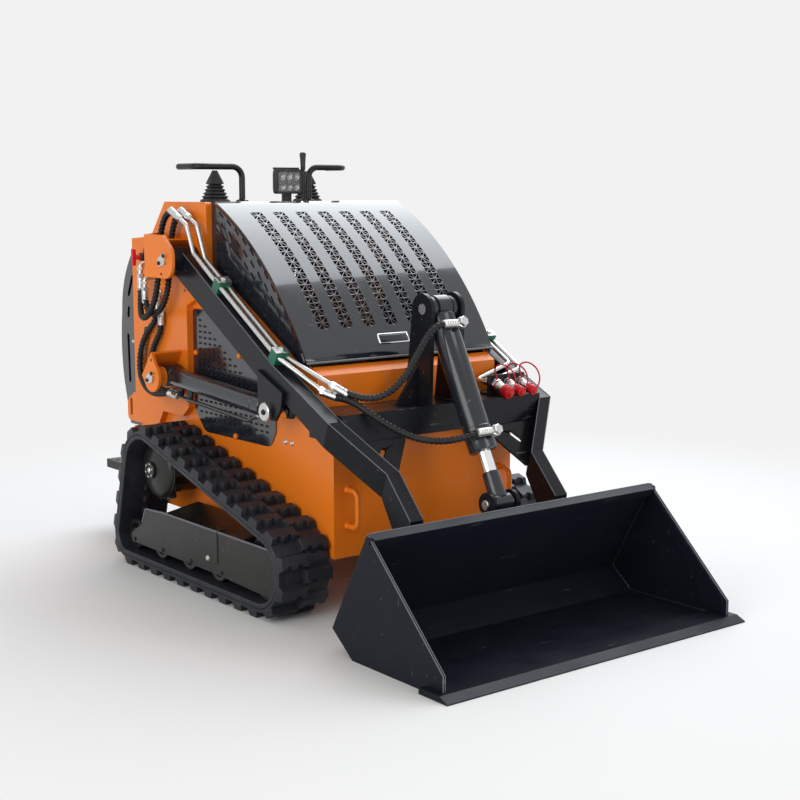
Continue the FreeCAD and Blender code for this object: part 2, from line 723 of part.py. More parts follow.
# Platform, controls and lamp

STEP_ARM_Y = 250.0
STEP_ARM_HALF = 20.0


def standing_platform():
    """The operator's step and its two arms to the tub."""
    under = PLATFORM_TOP - PLATFORM_THICK
    pieces = [box(PLATFORM_REAR, PLATFORM_FRONT, -PLATFORM_HALF, PLATFORM_HALF, under, PLATFORM_TOP)]
    arm = [(PLATFORM_FRONT, PLATFORM_TOP), (PLATFORM_FRONT, under), (-742.0, under), (-742.0, 240.0),
           (-763.0, 280.0), (TUB_REAR, TAIL - 10)]
    for sign in (1, -1):
        y = sign * STEP_ARM_Y
        pieces.append(prism(arm, "y", y - STEP_ARM_HALF, y + STEP_ARM_HALF))
    return fused(pieces)


REST_X = -440.0
REST_RISE = 112.0            # bar above the deck
REST_REACH = 120.0           # of the bar to the rear
REST_R = 10.0
REST_YS = ((-140.0, -305.0), (122.0, 280.0))         # post and outer end of each rest


def hand_rests():
    """Two bent bars beside the levers."""
    level = DECK_TOP + REST_RISE
    rests = []
    for post, end in REST_YS:
        rests.append(pipe([(REST_X, post, DECK_TOP), (REST_X, post, level), (REST_X, end, level),
                           (REST_X - REST_REACH, end, level)], REST_R, 36.0, 8))
    return Part.makeCompound(rests)


GAITER_X = -502.0
GAITER_YS = (-205.0, 160.0)
GAITER_FOLDS = 5
FOLD_RISE = 11.0
FOLD_HALVES = (40.0, 25.0)   # half widths of the lowest and the highest fold
GAITER_TIP = (7.0, 100.0)    # half width and height of the top


def square_ring(x, y, half, z):
    return [(x + a * half, y + b * half, z) for a, b in ((-1, -1), (1, -1), (1, 1), (-1, 1))]


def control_gaiters():
    """Square pleated gaiters round the control levers, with a plain upper cone."""
    gaiters = []
    low, high = FOLD_HALVES
    for y in GAITER_YS:
        pieces = []
        for i in range(GAITER_FOLDS):
            half = low + (high - low) * i / (GAITER_FOLDS - 1)
            z = DECK_TOP + FOLD_RISE * i
            pieces.append(block(square_ring(GAITER_X, y, half, z),
                                square_ring(GAITER_X, y, half - 8, z + FOLD_RISE)))
        z = DECK_TOP + FOLD_RISE * GAITER_FOLDS
        half, rise = GAITER_TIP
        pieces.append(block(square_ring(GAITER_X, y, high, z),
                            square_ring(GAITER_X, y, half, DECK_TOP + rise)))
        gaiters.append(fused(pieces))
    return Part.makeCompound(gaiters)


LEVER_PLACE = (-440.0, 100.0)
KNOB_ENDS = (106.0, 160.0)   # above the deck


def hand_lever():
    """Straight lever with a tapered knob."""
    x, y = LEVER_PLACE
    low, high = [DECK_TOP + rise for rise in KNOB_ENDS]
    stem = ring_face(V(x, y, DECK_TOP), V(0, 0, 1), 6.0, 10).extrude(V(0, 0, low - DECK_TOP))
    return stem.fuse(ring_face(V(x, y, low), V(0, 0, 1), 11.0, 10).extrude(V(0, 0, high - low)))


LAMP_BACK, LAMP_FACE = -470.0, -434.0
LAMP_YS = (-10.0, 94.0)
LAMP_ZS = (DECK_TOP + 24, DECK_TOP + 105)
LAMP_RIM = 8.0
LENS_DEPTH = 6.0


def lamp_recess(front):
    return box(LAMP_FACE - LENS_DEPTH, front, LAMP_YS[0] + LAMP_RIM, LAMP_YS[1] - LAMP_RIM,
               LAMP_ZS[0] + LAMP_RIM, LAMP_ZS[1] - LAMP_RIM)


def work_light():
    """Lamp housing with cooling ribs behind, its recess for the lens and its foot."""
    y0, y1 = LAMP_YS
    middle = (y0 + y1) / 2
    pieces = [box(LAMP_BACK + 14, LAMP_FACE, y0, y1, *LAMP_ZS)]
    pieces.append(box(-462.0, -444.0, middle - 14, middle + 14, DECK_TOP, LAMP_ZS[0]))
    for i in range(7):
        y = y0 + 10 + i * (y1 - y0 - 20) / 6
        pieces.append(box(LAMP_BACK, LAMP_BACK + 14, y - 2, y + 2, LAMP_ZS[0] + 6, LAMP_ZS[1] - 6))
    return fused(pieces).cut(lamp_recess(LAMP_FACE + 1))


def work_light_lens():
    return lamp_recess(LAMP_FACE - 1)


ISOLATOR = (-690.0, 996.0)
ISOLATOR_PLATE = (16.0, 32.0, 4.0)    # half width, half height and thickness
ISOLATOR_R = 14.0
ISOLATOR_DEPTH = 26.0
KEY_STEM = 16.0
KEY_GRIP = (7.0, 28.0, 12.0)          # half width, half height and depth of the grip


def isolator_switch():
    """Battery isolator on the right tower plate: its oval plate and barrel."""
    x, z = ISOLATOR
    half, tall, thick = ISOLATOR_PLATE
    corners = [(x + a * half, z + b * tall, half - 1) for a, b in ((-1, -1), (1, -1), (1, 1), (-1, 1))]
    plate = prism(corners, "y", -TOWER_OUTER - thick, -TOWER_OUTER)
    return plate.fuse(bar_y(ISOLATOR, ISOLATOR_R, -TOWER_OUTER - ISOLATOR_DEPTH, -TOWER_OUTER - thick))


def isolator_key():
    """The isolator's key, with an upright grip."""
    x, z = ISOLATOR
    face = -TOWER_OUTER - ISOLATOR_DEPTH
    stem = wheel_disc(ISOLATOR, 9.0, face - KEY_STEM, face, 10)
    half, tall, depth = KEY_GRIP
    grip = box(x - half, x + half, face - KEY_STEM - depth, face - KEY_STEM, z - tall, z + tall)
    return stem.fuse(grip)


HANDLE_Y = BODY_HALF - 48
HANDLE_ZS = (262.0, 368.0)
HANDLE_REACH = 50.0
HANDLE_R = 8.0


def grab_handles():
    """Bars on the front box to hold on to."""
    low, high = HANDLE_ZS
    front = BOX_FRONT + HANDLE_REACH
    handles = []
    for sign in (1, -1):
        y = sign * HANDLE_Y
        handles.append(pipe([(BOX_FRONT, y, low), (front, y, low), (front, y, high), (BOX_FRONT, y, high)],
                            HANDLE_R, 24.0, 8))
    return Part.makeCompound(handles)


TIE_SLOT = ((-823.0, 478.0), 62.0, 18.0)             # centre, height and width
TIE_THICK = 12.0


def tie_down_loops():
    """Rear tie-down plates with a slot, behind the tower plates."""
    inner = TOWER_OUTER - TIE_THICK
    plate = prism([(TUB_REAR, 430.0), (TUB_REAR, 530.0), (-800.0, 530.0, 10), (-850.0, 500.0, 30),
                   (-850.0, 430.0, 20)], "y", inner, TOWER_OUTER)
    return both(plate.cut(slot("y", inner - 1, TOWER_OUTER + 1, *TIE_SLOT, 90.0)))


HOSE_R = 9.5
FITTING_R = 8.0
NUT_R = 12.0
FITTINGS = [  # x, z, reach out from the tower plate, drop of the elbow
    (-650.0, 975.0, 45.0, 45.0),
    (-622.0, 930.0, 45.0, 42.0),
    (-597.0, 883.0, 14.0, 24.0),
    (-574.0, 832.0, 14.0, 24.0),
]


def bulkhead_fittings():
    """Elbows through each tower plate, where the hoses of the arm and of the lift cylinder start."""
    left = []
    for x, z, reach, drop in FITTINGS:
        out = TOWER_OUTER + reach
        bend = min(12.0, reach - 2)
        elbow = pipe([(x, TOWER_OUTER, z), (x, out, z), (x, out, z - drop)], FITTING_R, bend, 8)
        foot = V(x, TOWER_OUTER, z)
        nut = ring_face(foot, V(0, 1, 0), min(NUT_R, reach - 2), 6).extrude(V(0, 5, 0))
        left.append(elbow.fuse(nut))
    return both(Part.makeCompound(left))


# Lift arms

ARM_END = ((406.0, 514.0), (CROSS_FRONT, 584.0))     # lower and upper corner at the cross-member
LEG_START = ((506.0, 373.0), (530.0, 443.0))
LEG_BOSS_R = 38.0
ARM_TOP_LINE = [(-375.0, 1040.0), (161.0, 716.0), (290.0, 653.0), ARM_END[1]]
ARM_BOTTOM_LINE = [ARM_END[0], (227.0, 610.0), (129.0, 646.0), (-402.0, 956.0)]
KNEE_PLATE = 12.0
KNEE_CORNERS = [(92.0, 700.0), (222.0, 645.0), (214.0, 600.0), (180.0, 560.0), (112.0, 560.0), (96.0, 600.0)]


def arm_tube():
    """The arm's box section, from its hub down to the cross-member."""
    tube = prism(ARM_TOP_LINE + ARM_BOTTOM_LINE, "y", ARM_INNER, ARM_OUTER)
    hub = bar_y(ARM_PIVOT, HUB_R, TOWER_OUTER + 6, BRACKET_OUTER - BRACKET_PLATE - 5)
    return [tube, hub]


def knee_lugs():
    """Plates on both sides of the arm that hold the lift cylinder's rod pin."""
    return [prism(KNEE_CORNERS, "y", y, y + KNEE_PLATE) for y in (ARM_INNER - KNEE_PLATE, ARM_OUTER)]


def arm_leg():
    """The tapered box that leads inwards, and the leg down to the bucket's pin."""
    leg_outer = LEG_INNER + ARM_WIDTH
    (x0, z0), (x1, z1) = ARM_END
    (x2, z2), (x3, z3) = LEG_START
    top = [(x0, ARM_INNER, z0), (x0, ARM_OUTER, z0), (x1, ARM_OUTER, z1), (x1, ARM_INNER, z1)]
    foot = [(x2, LEG_INNER, z2), (x2, leg_outer, z2), (x3, leg_outer, z3), (x3, LEG_INNER, z3)]
    x, z = BUCKET_PIN
    leg = prism([*LEG_START, (636.0, 327.0), (x + LEG_BOSS_R, z), (x - LEG_BOSS_R, z), (554.0, 294.0)], "y",
                LEG_INNER, leg_outer)
    boss = bar_y(BUCKET_PIN, LEG_BOSS_R, LEG_INNER, leg_outer)
    return [block(top, foot), leg, boss]


def lift_arm():
    arm = fused(arm_tube() + knee_lugs() + arm_leg())
    cutters = [bar_y(ARM_PIVOT, PIVOT_PIN_R + RUNNING, TOWER_OUTER, BRACKET_OUTER),
               bar_y(BUCKET_PIN, BUCKET_PIN_R + RUNNING, LEG_INNER - 1, LEG_INNER + ARM_WIDTH + 1)]
    for y in (ARM_INNER - KNEE_PLATE, ARM_OUTER):
        cutters.append(bar_y(LIFT_EYE, CYLINDER_PIN_R, y - 0.5, y + KNEE_PLATE + 0.5))
    for cutter in cutters:
        arm = arm.cut(cutter)
    return arm


TOWER_PLATE = 12.0
TOWER_GAP_HALF = 50.0
TILT_LUG_R = 45.0


TOWER_FOOT = 317.0           # rear end of the tilt tower's foot
GUSSET = (110.0, 80.0, 366.0, 376.0)                 # height, reach, rear and front faces


def cross_member():
    """Box beam between the arms, with the tower for the tilt cylinder and its pierced gussets."""
    beam = box(CROSS_BACK, CROSS_FRONT, -ARM_INNER, ARM_INNER, CROSS_BOTTOM, CROSS_TOP)
    x, z = TILT_TOWER_PIN
    outside = TOWER_GAP_HALF + TOWER_PLATE
    height, reach, rear, front = GUSSET
    corners = [(TOWER_FOOT, CROSS_TOP), (CROSS_FRONT, CROSS_TOP), (x + TILT_LUG_R, z), (x - TILT_LUG_R, z)]
    plate = prism(corners, "y", TOWER_GAP_HALF, outside)
    lug = bar_y(TILT_TOWER_PIN, TILT_LUG_R, TOWER_GAP_HALF, outside)
    gusset = prism([(outside, CROSS_TOP), (outside, CROSS_TOP + height), (outside + reach, CROSS_TOP)], "x",
                   rear, front)
    middle = (outside + reach * 0.32, CROSS_TOP + height * 0.32)
    gusset = gusset.cut(slot("x", rear - 1, front + 1, middle, 34.0, 14.0, 126.0))
    tower = fused([beam, plate, mirrored(plate), lug, mirrored(lug), gusset, mirrored(gusset)])
    tower = tower.cut(bar_y(TILT_TOWER_PIN, CYLINDER_PIN_R, -outside - 1, outside + 1))
    leg = fused(arm_leg())
    return tower.cut(leg).cut(mirrored(leg))


PIN_PROUD = 18.0             # of a bucket pin past its leg


def arm_pins():
    """Pins carried by the arms: tilt cylinder's tower pin, bucket pins and the lift cylinders' eye pins."""
    half = TOWER_GAP_HALF + TOWER_PLATE
    pins = [bar_y(TILT_TOWER_PIN, CYLINDER_PIN_R, -half, half)]
    outside = ARM_OUTER + KNEE_PLATE
    x, z = LIFT_EYE
    bucket_pin = bar_y(BUCKET_PIN, BUCKET_PIN_R, LEG_INNER - PIN_PROUD, LEG_INNER + ARM_WIDTH + PIN_PROUD)
    stub = bar_y(LIFT_EYE, CYLINDER_PIN_R, ARM_OUTER, outside)
    corners = [(x + a * 16, z + b * 28, 15) for a, b in ((-1, -1), (1, -1), (1, 1), (-1, 1))]
    keeper = prism(corners, "y", outside, outside + KEEPER_THICK)
    inner = bar_y(LIFT_EYE, CYLINDER_PIN_R, ARM_INNER - KNEE_PLATE, ARM_INNER)
    for piece in (bucket_pin, stub.fuse(keeper), inner):
        pins += [piece, mirrored(piece)]
    return Part.makeCompound(pins)


# Hydraulic tubes on the arms

TUBE_R = 7.0
TUBE_YS = (385.0, 410.0)     # the two tubes on top of an arm


def arm_line_point(distance, above):
    """A point above the arm's upper edge, at a distance from its pivot end."""
    return along_line(ARM_TOP_LINE[0], ARM_TOP_LINE[1], distance, above)


TUBE_TOP = ((-392.0, 1134.0), (-335.0, 1108.0))      # upper end of the outer tube and its bend
TUBE_STAGGER = 20.0          # the inner tube is this far in front
TUBE_ABOVE = 24.0
TUBE_BENDS = (110.0, 78.0)   # distances down the arm where each tube meets it
TUBE_LEAVES = 610.0
TUBE_BEND_R = 18.0
COUPLER_X = 368.0            # rear face of the couplers' plate
COUPLER_Z = 636.0
COUPLER_YS = (240.0, 290.0, 340.0)
ADAPTOR = 18.0               # length of a coupler behind its plate
RIGHT_ENDS = [[(352.0, -338.0, 668.0)], [(318.0, -352.0, 650.0)]]
LEFT_ENDS = [[(288.0, 380.0, 678.0), (288.0, COUPLER_YS[0], COUPLER_Z)],
             [(318.0, 398.0, 664.0), (318.0, COUPLER_YS[1], COUPLER_Z)]]


def arm_tubes():
    """Two steel tubes on each arm: to the tilt cylinder's hoses on the right, to the couplers on the left."""
    tubes = []
    for sign, ends in ((-1, RIGHT_ENDS), (1, LEFT_ENDS)):
        for i, y in enumerate(TUBE_YS):
            shift = TUBE_STAGGER * (1 - i)
            flat = [(x + shift, z) for x, z in TUBE_TOP]
            flat += [arm_line_point(distance, TUBE_ABOVE) for distance in (TUBE_BENDS[i], TUBE_LEAVES)]
            route = [(x, sign * y, z) for x, z in flat] + ends[i]
            if sign > 0:
                route.append((COUPLER_X - ADAPTOR, COUPLER_YS[i], COUPLER_Z))
            tubes.append(pipe(route, TUBE_R, TUBE_BEND_R, 8))
    return Part.makeCompound(tubes)


def coupler_bracket():
    """Angle on the cross-member that carries the quick couplers."""
    low, high = COUPLER_YS[0] - 26, COUPLER_YS[-1] + 22
    plate = box(COUPLER_X, COUPLER_X + 6, low, high, CROSS_TOP, COUPLER_Z + 24)
    foot = box(COUPLER_X - 40, COUPLER_X, low, high, CROSS_TOP, CROSS_TOP + 6)
    bracket = plate.fuse(foot)
    for y in COUPLER_YS:
        neck = bar(V(COUPLER_X - 1, y, COUPLER_Z), V(COUPLER_X + 7, y, COUPLER_Z), 10.0 + SEAT)
        bracket = bracket.cut(neck)
    return bracket


def couplers():
    """Three quick couplers through their plate, with hexagonal bodies."""
    bodies = []
    for y in COUPLER_YS:
        stretches = ((-ADAPTOR, -SEAT, 12.0, 6), (-SEAT, 6 + SEAT, 10.0, 12), (6 + SEAT, 34.0, 14.0, 6))
        pieces = []
        for start, end, radius, sides in stretches:
            run = V(end - start, 0, 0)
            pieces.append(ring_face(V(COUPLER_X + start, y, COUPLER_Z), run, radius, sides).extrude(run))
        bodies.append(fused(pieces))
    return Part.makeCompound(bodies)


def coupler_caps():
    """Soft caps on the couplers' noses; the first coupler is the larger one."""
    caps = []
    for y, radius in zip(COUPLER_YS, (20.0, 16.0, 16.0)):
        start = V(COUPLER_X + 34 + SEAT, y, COUPLER_Z)
        caps.append(ring_face(start, V(1, 0, 0), radius, 12).extrude(V(26, 0, 0)))
    return Part.makeCompound(caps)


# Hoses: each route is (x, out from the tower plate, z), from the arm's tube to its fitting

PIVOT_ROUTES = [
    [(-466.0, 52.0, 1132.0), (-492.0, 53.0, 1085.0), (-502.0, 55.0, 1030.0), (-504.0, 58.0, 972.0),
     (-502.0, 64.0, 915.0), (-512.0, 72.0, 858.0), (-548.0, 76.0, 812.0), (-602.0, 70.0, 800.0),
     (-641.0, 54.0, 838.0)],
    [(-442.0, 27.0, 1128.0), (-464.0, 28.0, 1084.0), (-473.0, 31.0, 1032.0), (-475.0, 36.0, 972.0),
     (-472.0, 41.0, 915.0), (-484.0, 48.0, 862.0), (-522.0, 52.0, 824.0), (-580.0, 50.0, 812.0)],
]
LIFT_ROUTES = [
    [(-620.0, 15.0, 782.0), (-662.0, 18.0, 752.0), (-694.0, 23.0, 706.0), (-700.0, 30.0, 652.0),
     (-680.0, 38.0, 602.0), (-636.0, 44.0, 568.0), (-584.0, 47.0, 555.0), (-530.0, 47.5, 558.0)],
    [(-598.0, 15.0, 736.0), (-630.0, 17.0, 696.0), (-642.0, 20.0, 648.0), (-624.0, 24.0, 602.0),
     (-586.0, 25.0, 572.0), (-540.0, 25.5, 564.0)],
]
TILT_ROUTES = [  # (x, y, z), from a tube's end to its port
    [(436.0, -292.0, 640.0), (474.0, -252.0, 652.0), (494.0, -208.0, 690.0), (493.0, -164.0, 740.0),
     (488.0, -116.0, 790.0), (492.0, -84.0, 824.0)],
    [(404.0, -318.0, 634.0), (452.0, -290.0, 600.0), (494.0, -246.0, 560.0), (536.0, -196.0, 532.0),
     (582.0, -146.0, 524.0), (620.0, -98.0, 534.0)],
]


def hose(points, name):
    """A hose through the points, its end runs in line with what it meets; prints its bends and volume."""
    solid = pipe(points, HOSE_R, None, 6)
    points = [V(*p) for p in points]
    radii = []
    length = sum((b - a).Length for a, b in zip(points, points[1:]))
    for a, b, c in zip(points, points[1:], points[2:]):
        turn = (b - a).getAngle(c - b)
        reach = BEND_SHARE * min((b - a).Length, (c - b).Length)
        radii.append(reach / math.tan(turn / 2))
        length += radii[-1] * turn - 2 * reach
    share = solid.Volume / (math.pi * HOSE_R ** 2 * length)
    print("%s length %.0f tightest bend %.0f volume share %.3f" % (name, length, min(radii), share))
    return solid


def ahead(start, towards, distance):
    """The point past towards, on the line from start."""
    start, towards = V(*start), V(*towards)
    return tuple(towards + (towards - start).normalize() * distance)


def below(point, distance):
    return (point[0], point[1], point[2] - distance)


HOSE_LEAD = 40.0             # straight stretch at each end of a hose


def fitting_foot(fitting):
    x, z, reach, drop = fitting
    return (x, TOWER_OUTER + reach, z - drop)


def off_tower(route):
    return [(x, TOWER_OUTER + out, z) for x, out, z in route]


def pivot_hoses():
    """Hoses from the arm's tubes round the back of its pivot to the upper fittings."""
    hoses = []
    for i, route in enumerate(PIVOT_ROUTES):
        top, bend = [(x + TUBE_STAGGER * i, TUBE_YS[1 - i], z) for x, z in TUBE_TOP]
        foot = fitting_foot(FITTINGS[i])
        points = [top, ahead(bend, top, HOSE_LEAD)] + off_tower(route) + [below(foot, HOSE_LEAD), foot]
        hoses.append(hose(points, "pivot hose"))
    return both(Part.makeCompound(hoses))


def lift_hoses():
    """Hoses from the lower fittings to the lift cylinder's pipe and base port."""
    ends = [(LIFT_PIPE_START, LIFT_PIPE_ASIDE), (LIFT_PORT_AT, LIFT_PORT_ASIDE)]
    hoses = []
    for route, fitting, (start, aside) in zip(LIFT_ROUTES, FITTINGS[2:], ends):
        foot = fitting_foot(fitting)
        end, lead = [lift_line_point(at, -LIFT_PIPE_DROP, aside) for at in (start, start - HOSE_LEAD)]
        points = [foot, below(foot, HOSE_LEAD)] + off_tower(route) + [lead, end]
        hoses.append(hose(points, "lift hose"))
    return both(Part.makeCompound(hoses))


def tilt_hoses():
    """Hoses from the right arm's tubes to the two ports of the tilt cylinder."""
    leave = arm_line_point(TUBE_LEAVES, TUBE_ABOVE)
    hoses = []
    for i, route in enumerate(TILT_ROUTES):
        x, z = along_line(TILT_TOWER_PIN, TILT_EYE, TILT_PORTS[i], (BANJO_FOOT + BANJO_TOP) / 2)
        start = RIGHT_ENDS[i][0]
        end_y = -BANJO_R - 2
        points = [start, ahead((leave[0], -TUBE_YS[i], leave[1]), start, HOSE_LEAD)] + route
        hoses.append(hose(points + [(x, end_y - HOSE_LEAD, z), (x, end_y, z)], "tilt hose"))
    return Part.makeCompound(hoses)


def tube_clamps():
    """Plastic clamps that hold the tubes on the arms."""
    clamps = []
    run = V(ARM_TOP_LINE[1][0] - ARM_TOP_LINE[0][0], 0, ARM_TOP_LINE[1][1] - ARM_TOP_LINE[0][1])
    slope = math.degrees(math.atan2(run.z, run.x))
    for distance in (230.0, 590.0):
        x, z = arm_line_point(distance, 0.0)
        clamp = box(0, 34, TUBE_YS[0] - 9, TUBE_YS[1] + 9, 0.3, 40)
        clamp.rotate(V(0, 0, 0), V(0, 1, 0), -slope)
        clamp.translate(V(x, 0, z))
        clamps.append(clamp)
    tubes = arm_tubes()
    return both(Part.makeCompound(clamps)).cut(tubes)


# Cylinders

def cylinder_barrel(base, eye, tube_r, bore_start, end, rod_r, eye_width, y, eye_r):
    """A barrel from its base eye towards the rod's eye, bored for the rod."""
    head = bar_y(base, eye_r, y - eye_width / 2, y + eye_width / 2)

    def at(distance):
        x, z = along_line(base, eye, distance)
        return V(x, y, z)

    barrel = bar(at(0), at(end), tube_r).fuse(head)
    barrel = barrel.cut(bar(at(bore_start), at(end + 1), rod_r + RUNNING))
    return barrel.cut(bar_y(base, CYLINDER_PIN_R + RUNNING, y - eye_width, y + eye_width))


def cylinder_rod(base, eye, start, rod_r, eye_width, y, eye_r):
    """A rod from inside its barrel out to its eye."""
    span = length_of(base, eye)

    def at(distance):
        x, z = along_line(base, eye, distance)
        return V(x, y, z)

    rod = bar(at(start), at(span), rod_r)
    neck = bar(at(span - eye_r - 14), at(span), min(eye_r, eye_width / 2) - 3)
    return fused([rod, neck, bar_y(eye, eye_r, y - eye_width / 2, y + eye_width / 2)])


PORT_R = 11.0
LIFT_PIPE_R = 6.0
LIFT_PIPE_DROP = 56.0        # from the barrel's axis down to the steel pipe below it
LIFT_PIPE_ASIDE = 10.0
LIFT_PORT_ASIDE = -12.0      # the base port stands on the other side of the axis
LIFT_PIPE_START = 40.0       # distances from the base pin
LIFT_PIPE_RISE = 480.0
LIFT_PORT_AT = 18.0


def lift_line_point(distance, aside, off):
    """A point beside the lift cylinder's axis: aside is upwards, off is outwards."""
    x, z = along_line(LIFT_BASE, LIFT_EYE, distance, aside)
    return (x, LIFT_Y + off, z)


def lift_barrel():
    """Barrel with its base port's elbow and the steel pipe to the rod's end."""
    end = length_of(LIFT_BASE, LIFT_EYE) - LIFT_ROD_SHOWN
    barrel = cylinder_barrel(LIFT_BASE, LIFT_EYE, LIFT_BARREL_R, 40.0, end, LIFT_ROD_R, LIFT_HEAD, LIFT_Y,
                             LIFT_HEAD_R)
    sunk = LIFT_ROD_R + 8
    steel = pipe([lift_line_point(LIFT_PIPE_START, -LIFT_PIPE_DROP, LIFT_PIPE_ASIDE),
                  lift_line_point(LIFT_PIPE_RISE, -LIFT_PIPE_DROP, LIFT_PIPE_ASIDE),
                  lift_line_point(end - 20, -sunk, LIFT_PIPE_ASIDE / 2)], LIFT_PIPE_R, 24.0, 8)
    elbow = pipe([lift_line_point(LIFT_PORT_AT, -LIFT_PIPE_DROP, LIFT_PORT_ASIDE),
                  lift_line_point(LIFT_PORT_AT + 30, -LIFT_PIPE_DROP, LIFT_PORT_ASIDE),
                  lift_line_point(LIFT_PORT_AT + 30, -sunk, LIFT_PORT_ASIDE)], PORT_R - 2, 12.0, 8)
    return fused([barrel, steel, elbow])


def lift_rod():
    return cylinder_rod(LIFT_BASE, LIFT_EYE, 50.0, LIFT_ROD_R, ARM_WIDTH - 6, LIFT_Y, LIFT_EYE_R)


TILT_PORTS = (78.0, 406.0)   # distances of the hose ports from the tower pin
BANJO_FOOT = 62.0            # from the barrel's axis
BANJO_TOP = 86.0
BANJO_R = 14.0


def tilt_barrel():
    """Barrel with its two ports, each with the bolt that holds a hose's banjo end."""
    end = length_of(TILT_TOWER_PIN, TILT_EYE) - TILT_ROD_SHOWN
    pieces = [cylinder_barrel(TILT_TOWER_PIN, TILT_EYE, TILT_BARREL_R, 50.0, end, TILT_ROD_R,
                              2 * TOWER_GAP_HALF - 8, 0.0, TILT_HEAD_R)]
    for distance in TILT_PORTS:
        reach = [along_line(TILT_TOWER_PIN, TILT_EYE, distance, off) for off in
                 (TILT_ROD_R + 12, BANJO_FOOT, BANJO_TOP)]
        root, foot, top = [V(x, 0, z) for x, z in reach]
        pieces.append(ring_face(root, foot - root, PORT_R, 6).extrude(foot - root))
        pieces.append(ring_face(foot, top - foot, BANJO_R, 6).extrude(top - foot))
    return fused(pieces)


def tilt_rod():
    return cylinder_rod(TILT_TOWER_PIN, TILT_EYE, 104.0, TILT_ROD_R, 62.0, 0.0, TILT_EYE_R)


# Bucket and its quick-attach plate

def bucket_shell():
    """Bent sheet with side plates, rim bar and a bevelled cutting edge."""
    path = [RIM, BACK_FOOT, HEEL, (CUTTING_EDGE - EDGE_DEPTH, 0.0)]
    inner = BUCKET_HALF - BUCKET_SHEET
    skin = sheet(path, BUCKET_SHEET, -inner, inner)
    corners = [RIM, BACK_FOOT, HEEL, (LIP_TOP[0], 0.0), LIP_TOP]
    sides = [prism(corners, "y", y, y + BUCKET_SHEET) for y in (-BUCKET_HALF, inner)]
    edge_back = CUTTING_EDGE - EDGE_DEPTH
    half = BUCKET_HALF + EDGE_OVERHANG
    edge = prism([(edge_back, 0.0), (CUTTING_EDGE, 0.0), (CUTTING_EDGE, 3.0), (CUTTING_EDGE - 30, EDGE_THICK),
                  (edge_back, EDGE_THICK)], "y", -half, half)
    top = length_of(BACK_FOOT, RIM)
    low = top - RIM_BAR
    corners = [RIM, behind_bucket(low, 0), behind_bucket(low, -RIM_BAR), behind_bucket(top, -RIM_BAR)]
    rim_bar = prism(corners, "y", -inner, inner)
    return fused([skin] + sides + [edge, rim_bar])


PLATE_THICK = 10.0
PLATE_HALF = 400.0
PLATE_FOOT = 24.0
PLATE_TOP = 296.0
LUG_THICK = 12.0


def attach_plate():
    """Quick-attach plate with lugs for both bucket pins and for the tilt cylinder."""
    corners = [behind_bucket(PLATE_FOOT, 0), behind_bucket(PLATE_TOP, 0),
               behind_bucket(PLATE_TOP, PLATE_THICK), behind_bucket(PLATE_FOOT, PLATE_THICK)]
    pieces = [prism(corners, "y", -PLATE_HALF, PLATE_HALF)]
    reach = PLATE_THICK / 2

    def lug(centre, radius, low, high, y0):
        body = prism([behind_bucket(low, reach), behind_bucket(high, reach), along_line(centre, BACK_FOOT, 0),
                      ], "y", y0, y0 + LUG_THICK)
        return [body, bar_y(centre, radius, y0, y0 + LUG_THICK)]

    for sign in (1, -1):
        for y0 in (LEG_INNER - 16 - LUG_THICK / 2, LEG_INNER + ARM_WIDTH + 4):
            start = y0 if sign > 0 else -y0 - LUG_THICK
            pieces += lug(BUCKET_PIN, 34.0, 40.0, 180.0, start)
        start = 37.0 if sign > 0 else -37.0 - LUG_THICK
        pieces += lug(TILT_EYE, 34.0, 190.0, PLATE_TOP, start)
    plate = fused(pieces)
    plate = plate.cut(bar_y(BUCKET_PIN, BUCKET_PIN_R + RUNNING, -350, 350))
    window = prism([behind_bucket(220.0, -1), behind_bucket(400.0, -1), behind_bucket(400.0, 30),
                    behind_bucket(220.0, 30)], "y", -37, 37)
    return plate.cut(window)


def latch_levers():
    """Two levers that lock the plate's wedge pins."""
    levers = []
    for sign in (1, -1):
        y = sign * 180.0
        x0, z0 = behind_bucket(70.0, PLATE_THICK)
        x1, z1 = behind_bucket(200.0, PLATE_THICK + 30)
        foot = behind_bucket(70.0, PLATE_THICK + 26)
        boss = bar(V(x0, y, z0), V(foot[0], y, foot[1]), 16.0)
        levers.append(boss.fuse(bar(V(foot[0], y, foot[1]), V(x1, y, z1), 8.0)))
    return Part.makeCompound(levers)


# Hood

HOOD_BANDS = 13              # flat bands that make up the arc
LOUVRE_COLUMNS = 7
LOUVRE_PITCH = 83.0
LOUVRE_ROWS = 11
LOUVRE_FIRST = 1                      # bands of the arc above the first row
LOUVRE_SLOT = (27.0, 11.0, 38.0)      # length, width and slant in degrees
LOUVRE_ASIDE = 15.0                   # from a column's middle to its two slots


def hood_angle(share):
    """The angle at a share of the hood's arc from its top, the arc's radius and its centre."""
    (top, _, foot), centre = hood_arc(0)
    first = math.atan2(top.z - centre.z, top.x - centre.x)
    last = math.atan2(foot.z - centre.z, foot.x - centre.x)
    return first + (last - first) * share, (top - centre).Length, centre


